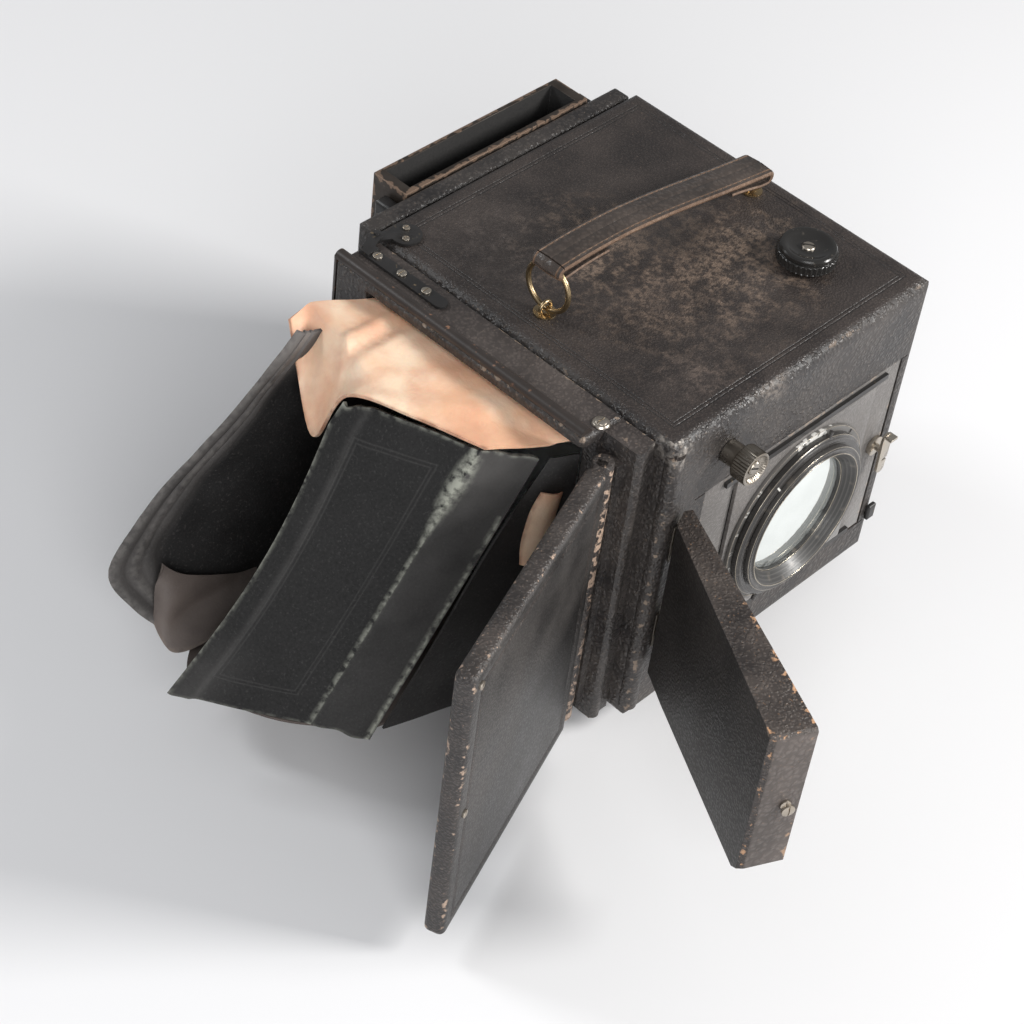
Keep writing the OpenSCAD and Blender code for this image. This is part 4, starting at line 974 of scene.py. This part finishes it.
def lathe(name, steps, rings, place, body, material):
    """A turned piece: a circle drawn out ring by ring, each a radius and a height in millimetres, closed
    at both ends and then set in its place by a matrix."""
    piece = added(name, bpy.ops.mesh.primitive_circle_add, vertices=steps, radius=rings[0][0] / 1000,
                  fill_type="NGON")
    bpy.ops.object.mode_set(mode="EDIT")
    bpy.ops.mesh.select_all(action="SELECT")
    bpy.ops.transform.translate(value=(0, 0, rings[0][1] / 1000))
    for (r0, h0), (r1, h1) in zip(rings, rings[1:]):
        bpy.ops.mesh.extrude_region_move(TRANSFORM_OT_translate={"value": (0, 0, (h1 - h0) / 1000)})
        bpy.ops.transform.resize(value=(r1 / r0, r1 / r0, 1), center_override=(0, 0, 0))
    bpy.ops.object.mode_set(mode="OBJECT")
    outward(piece)
    bpy.ops.object.shade_smooth_by_angle(angle=radians(32))
    put(piece, place, material, body)
    return piece


def facing_out(point, way, top):
    """The place of a turned piece that stands on a point of the camera, its axis along one direction."""
    way = Vector(way)
    right = Vector(top).cross(way).normalized()
    return Matrix.Translation(point) @ Matrix((right, way.cross(right), way)).transposed().to_4x4()


def flute(piece, place, low, high, depth):
    """Knurls the wall of a turned piece between two heights, every other pair of its corners cut in."""
    back = place.inverted()
    for index, corner in enumerate(piece.data.vertices):
        local = back @ corner.co
        turn = (Vector(local.xy).angle_signed(Vector((1, 0)), 0) % (2 * pi)) / (2 * pi)
        if low / 1000 < local.z < high / 1000 and round(turn * knurl_steps) % 4 < 2:
            corner.co = place @ Vector((*(local.xy * (1 - depth)), local.z))


shaft_d, shaft_h = 40.5, 33                    # the focusing shaft
knurl_steps = 144                              # corners round a knurled knob, four to a tooth
gloss_black = metal("gloss_black", (0.020, 0.019, 0.018), 0.16, 0.0, bare=(0.10, 0.085, 0.07), grime=0.2)
knob_at = facing_out(at(side + 0.4, shaft_d, shaft_h), (0, 0, 1), (1, 0, 0))
knob = lathe(
    "focus_knob_turned", knurl_steps,
    ((10.2, 0), (10.2, 1.2), (12.3, 1.5), (12.5, 1.8), (12.5, 5.0), (12.2, 5.25), (11.5, 5.4), (11.7, 6.2),
     (11.6, 7.2), (11.1, 7.8), (10.3, 8.0), (9.4, 7.85), (8.4, 7.3), (7.2, 6.7), (5.6, 6.3), (4.2, 6.2),
     (3.6, 6.25), (3.2, 6.5), (0.4, 6.5)), knob_at, "focus", gloss_black)
flute(knob, knob_at, 1.7, 5.1, 0.045)
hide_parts("focus_knob")
lathe("focus_knob_screw", 48, ((2.7, 6.1), (2.7, 6.9), (2.4, 7.3), (1.6, 7.6), (0.3, 7.7)), knob_at,
      "focus", nickel)
# A screw's slot is a black bar on the screw's face, not a cut: its black is dirt with painted shade.
black_slot, tree, shader, place = finish("slot_dirt_and_shade", (0.006, 0.006, 0.006), 0.8)
wire(tree, shader, mix(tree, clouds(tree, place, 0.0007, 2), (0.004, 0.004, 0.004), (0.02, 0.016, 0.012)))


def bar_on(name, place, long, wide, material, body):
    """A thin bar with rounded edges, for a painted mark and for a screw's slot, which is drawn black as dirt
    with painted shade.
    """
    bar = added(name, bpy.ops.mesh.primitive_cube_add, size=1)
    bar.data.transform(Matrix.Diagonal((long / 1000, wide / 1000, 0.0005, 1)))
    bpy.ops.object.mode_set(mode="EDIT")
    bpy.ops.mesh.select_all(action="SELECT")
    bpy.ops.mesh.bevel(offset=0.00012, segments=2)
    bpy.ops.object.mode_set(mode="OBJECT")
    put(bar, place, material, body)


bar_on("focus_knob_slot", facing_out(at(side + 7.95, shaft_d, shaft_h), (0, 0, 1), (0.8, 0.6, 0)), 5.2, 0.7,
       black_slot, "focus")


# The clamp knob of the lens board: nickelled brass worn yellow, with a coarse knurl, a dished face and
# a slotted screw.
clamp_w, clamp_h = 55, 122
clamp_brass = metal("clamp_brass", (0.34, 0.31, 0.27), 0.26, bare=(0.12, 0.10, 0.08), wear=0.7, grime=0.8)
clamp_at = facing_out(at(clamp_w, -6.8, clamp_h), (0, -1, 0), (0, 0, 1))
clamp = lathe(
    "clamp_knob_turned", knurl_steps,
    ((5.0, -6.6), (5.0, 0.1), (6.9, 0.2), (7.4, 0.7), (7.4, 6.8), (7.2, 7.3), (6.6, 7.55), (6.2, 7.4),
     (5.6, 6.3), (4.6, 5.7), (3.4, 5.5), (3.0, 5.6), (2.9, 6.3), (2.4, 6.7), (0.3, 6.8)),
    clamp_at, "clamp", clamp_brass)
flute(clamp, clamp_at, 0.5, 7.1, 0.07)
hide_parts("clamp_knob")
bar_on("clamp_slot", facing_out(at(clamp_w, -13.5, clamp_h), (0, -1, 0), (0.5, 0, 0.86)), 4.6, 0.7,
       black_slot, "clamp")


# The lens: a black enamelled brass barrel on a flange, with fine turned lines, an aperture ring turned
# by two pins, and a large front glass that mirrors the bright room. The numbers are plain f-numbers.
lens_w, lens_h = -9, 69                        # the lens axis


def turned_black(name, colour, rough, line, peel=None):
    """Black enamel on turned brass, with rings as fine as line, and paint that has
    peeled off round one point."""
    made, tree, shader, place = finish(name, colour, rough)
    flat = vector(tree, "MULTIPLY", vector(tree, "SUBTRACT", place, at(lens_w, 84, lens_h)), (1, 0, 1))
    radius = add(tree, "VectorMath", {0: flat}, operation="LENGTH").outputs["Value"]
    rings = maths(tree, "SINE", times(tree, radius, 2 * pi / line))
    grain = clouds(tree, place, 0.0012, 3)
    worn = ramp(tree, clouds(tree, place, 0.0045, 5), 0.60, 0.72)
    tone = mix(tree, times(tree, worn, 0.5), colour, (0.16, 0.135, 0.11))
    tone = mix(tree, times(tree, ramp(tree, rings, 0.2, 1.0), 0.12), tone, (0.30, 0.28, 0.26))
    if peel:
        chips = ramp(tree, away_from(tree, place, peel[0]), peel[1], peel[1] * 0.3, 0, 0.35)
        chips = ramp(tree, plus(tree, clouds(tree, place, 0.006, 5), chips), 0.74, 0.76)
        tone = mix(tree, chips, tone, (0.62, 0.61, 0.58))
    gloss = ramp(tree, clouds(tree, place, 0.008, 4), 0.3, 0.7, rough - 0.04, rough + 0.14)
    wire(tree, shader, tone, gloss, (0.7, 0.00005, plus(tree, times(tree, rings, 0.5), grain)))
    return made


barrel_black = turned_black("barrel_black", (0.030, 0.028, 0.027), 0.20, 0.0009)
flange_black = turned_black("flange_black", (0.10, 0.095, 0.09), 0.34, 0.004, (at(33, -3, 66), 0.014))
inner_black = turned_black("inner_black", (0.030, 0.029, 0.028), 0.36, 0.0011)
barrel = soften("lens_barrel_turned", "lens_barrel", 0.0002, "black_enamel", barrel_black, angle=22)
barrel.data.materials.append(inner_black)
for face in barrel.data.polygons:
    inward = (at(lens_w, 0, lens_h) - face.center).dot(face.normal)
    if inward > 0.004 and face.center.y < at(0, 1, 0).y:
        face.material_index = 1
soften("lens_flange_ring", "lens_flange", 0.0002, "black_enamel", flange_black, angle=22)
soften("aperture_ring_turned", "aperture_ring", 0.00015, "black_enamel", barrel_black, angle=22)
edge_brass = metal("edge_brass", (0.50, 0.45, 0.37), 0.22, bare=(0.10, 0.08, 0.06), wear=0.6)
lens_front = facing_out(at(lens_w, 0, lens_h), (0, -1, 0), (0, 0, 1))


def bright_rim(name, radius, depth, thick, body):
    """A worn edge of a turned ring, where the brass shows, as a fine raised bead."""
    bead = added(name, bpy.ops.mesh.primitive_torus_add, major_radius=radius / 1000,
                 minor_radius=thick / 1000, major_segments=120, minor_segments=8)
    for corner in bead.data.vertices:
        corner.co.z = corner.co.z * 0.7 + depth / 1000
    bpy.ops.object.shade_smooth()
    put(bead, lens_front, edge_brass, body)


bright_rim("barrel_front_edge", 31.6, 9.5, 0.22, "lens")
bright_rim("barrel_outer_edge", 34.3, 8.75, 0.16, "lens")
bright_rim("aperture_ring_edge", 38.3, 5.6, 0.2, "aperture")
bright_rim("flange_edge", 40.8, 3.0, 0.16, "lens")
bright_rim("glass_seat_edge", 27.3, 4.6, 0.2, "lens")

glass_front, tree, shader, place = finish("lens_glass", (0.83, 0.87, 0.85), 0.04, 0.82)
haze = ramp(tree, clouds(tree, place, 0.012, 4), 0.35, 0.75)
wire(tree, shader, mix(tree, haze, (0.80, 0.84, 0.82), (0.88, 0.92, 0.90)),
     ramp(tree, clouds(tree, place, 0.004, 5), 0.4, 0.8, 0.03, 0.10))
soften("front_glass_lens", "front_glass", 0, "lens_glass", glass_front, angle=40)
rear_glass = glass("rear_lens_glass", (0.80, 0.86, 0.84), 0.03)
soften("rear_glass_lens", "rear_glass", 0, "lens_glass", rear_glass, angle=40)

white_paint, tree, shader, place = finish("white_paint", (0.66, 0.65, 0.61), 0.5)
rubbed = ramp(tree, clouds(tree, place, 0.0008, 3), 0.55, 0.7)
wire(tree, shader, mix(tree, rubbed, (0.70, 0.69, 0.65), (0.22, 0.20, 0.18)))


def on_lens(angle, radius, depth):
    """The place of a mark on the lens at that angle from the strap side, facing out with its top outwards."""
    a = radians(angle)
    point = at(lens_w + radius * cos(a), -depth, lens_h + radius * sin(a))
    turn = Matrix(((cos(a), 0, sin(a)), (-sin(a), 0, cos(a)), (0, -1, 0))).transposed().to_4x4()
    return Matrix.Translation(point) @ turn


def engraved(name, words, size, places, body):
    """Numbers engraved in a ring and filled with white, one after another."""
    marks = []
    for word, place in zip(words, places):
        mark = added(name, bpy.ops.object.text_add)
        mark.data.body = word
        mark.data.size = size / 1000
        mark.data.align_x = "CENTER"
        mark.data.align_y = "CENTER"
        mark.data.extrude = 0.00004
        mark.data.resolution_u = 4
        bpy.ops.object.convert(target="MESH")
        mark = bpy.context.object
        mark.data.transform(place)
        marks.append(mark)
    bpy.ops.object.select_all(action="DESELECT")
    for mark in marks:
        mark.select_set(True)
    bpy.context.view_layer.objects.active = marks[0]
    bpy.ops.object.join()
    piece = bpy.context.object
    piece.name = name
    piece.data.name = name
    piece.data.materials.clear()
    piece.data.materials.append(white_paint)
    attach(piece, body)


numbers = ("4.5", "5.6", "8", "11", "16", "22", "32")
engraved("aperture_numbers", numbers, 2.6,
         [on_lens(46 + 14.0 * i, 39.6, 3.06) for i in range(len(numbers))], "lens")
bar_on("aperture_index", on_lens(37, 35.4, 6.72), 0.9, 3.8, white_paint, "aperture")


# The other small metal is turned or bent: the flap's catch, stud and hinge leaf, the lid's screws, the
# knobs and the release on the far side, and the plates of the frame's hinge.
for name, node, material in (
        ("flap_catch_turned", "flap_catch", nickel), ("flap_stud_turned", "flap_stud", nickel),
        ("flap_hinge_bent", "flap_hinge_leaf", nickel), ("lid_screws", "lid_studs", nickel),
        ("winding_knob_turned", "winding_knob", gloss_black),
        ("tension_knob_turned", "tension_knob", gloss_black),
        ("focus_knob_far", "focus_knob_right", gloss_black),
        ("release_boss_turned", "release_boss", gloss_black), ("release_lever_bent", "release_lever", nickel),
        ("hinge_plates_filed", "frame_hinge_plates", enamel)):
    soften(name, node, 0.00025, "nickel" if material is nickel else "black_enamel", material, segments=2)


# The bellows joins the focusing front to the mirror box, folded in square pleats. It is black leather over
# card.
bellows_black = leather("bellows_black", (0.012, 0.011, 0.011), (0.045, 0.040, 0.037), 0.0010, 0.00012,
                        0.55, dust=0.1)
first_d, last_d, folds = 6.4, 25.9, 18
pleats = [(37.2 if i % 2 else 40.4, first_d + (last_d - first_d) * i / folds) for i in range(folds + 1)]
square = [(x / 2 - 1, -1) for x in range(4)] + [(1, x / 2 - 1) for x in range(4)]
square += [(1 - x / 2, 1) for x in range(4)] + [(-1, 1 - x / 2) for x in range(4)]
points = [at(lens_w + r * x, d, lens_h + r * y) for r, d in pleats for x, y in square]
bellows = built("bellows_pleated", points, tube(len(square), len(pleats)))
outward(bellows)
bellows.data.materials.append(bellows_black)
walled(bellows, 0.0004)
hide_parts("bellows")
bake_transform(bellows)


# The roller blind: black rubbered cloth from roller to roller, stretched flat behind the mirror, with
# the slit that passes the plate.
blind_d = 159
blind_cloth, tree, shader, place = finish("rubbered_cloth", (0.016, 0.015, 0.015), 0.62)
threads = add(tree, "TexBrick", {"Vector": place, "Scale": 900.0, "Mortar Size": 0.06}).outputs["Fac"]
dusty = ramp(tree, clouds(tree, place, 0.012, 5), 0.35, 0.75)
tone = mix(tree, dusty, (0.010, 0.010, 0.010), (0.040, 0.037, 0.034))
wire(tree, shader, tone, None, (0.5, 0.00004, threads))
blind = added("blind_cloth", bpy.ops.mesh.primitive_grid_add, x_subdivisions=58, y_subdivisions=55, size=1)
blind.data.transform(Matrix.Translation(at(lens_w, blind_d, 73.5)) @ Matrix.Diagonal((0.116, 1, 0.110, 1))
                     @ Matrix.Rotation(radians(90), 4, "X"))
low, high = at(-61, blind_d, 123.5), at(43, blind_d, 113.5)
pick(blind, lambda middle, normal: low.x < middle.x < high.x and low.z < middle.z < high.z)
bpy.ops.mesh.delete(type="FACE")
bpy.ops.object.mode_set(mode="OBJECT")
for corner in blind.data.vertices:
    corner.co.y += 0.00010 * noise.noise(corner.co * 60) + 0.00004 * sin(corner.co.x * 900)
blind.data.materials.append(blind_cloth)
walled(blind, 0.0003, 0)
bpy.ops.object.shade_smooth_by_angle(angle=radians(40))
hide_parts("shutter_blind")
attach(blind, "case")
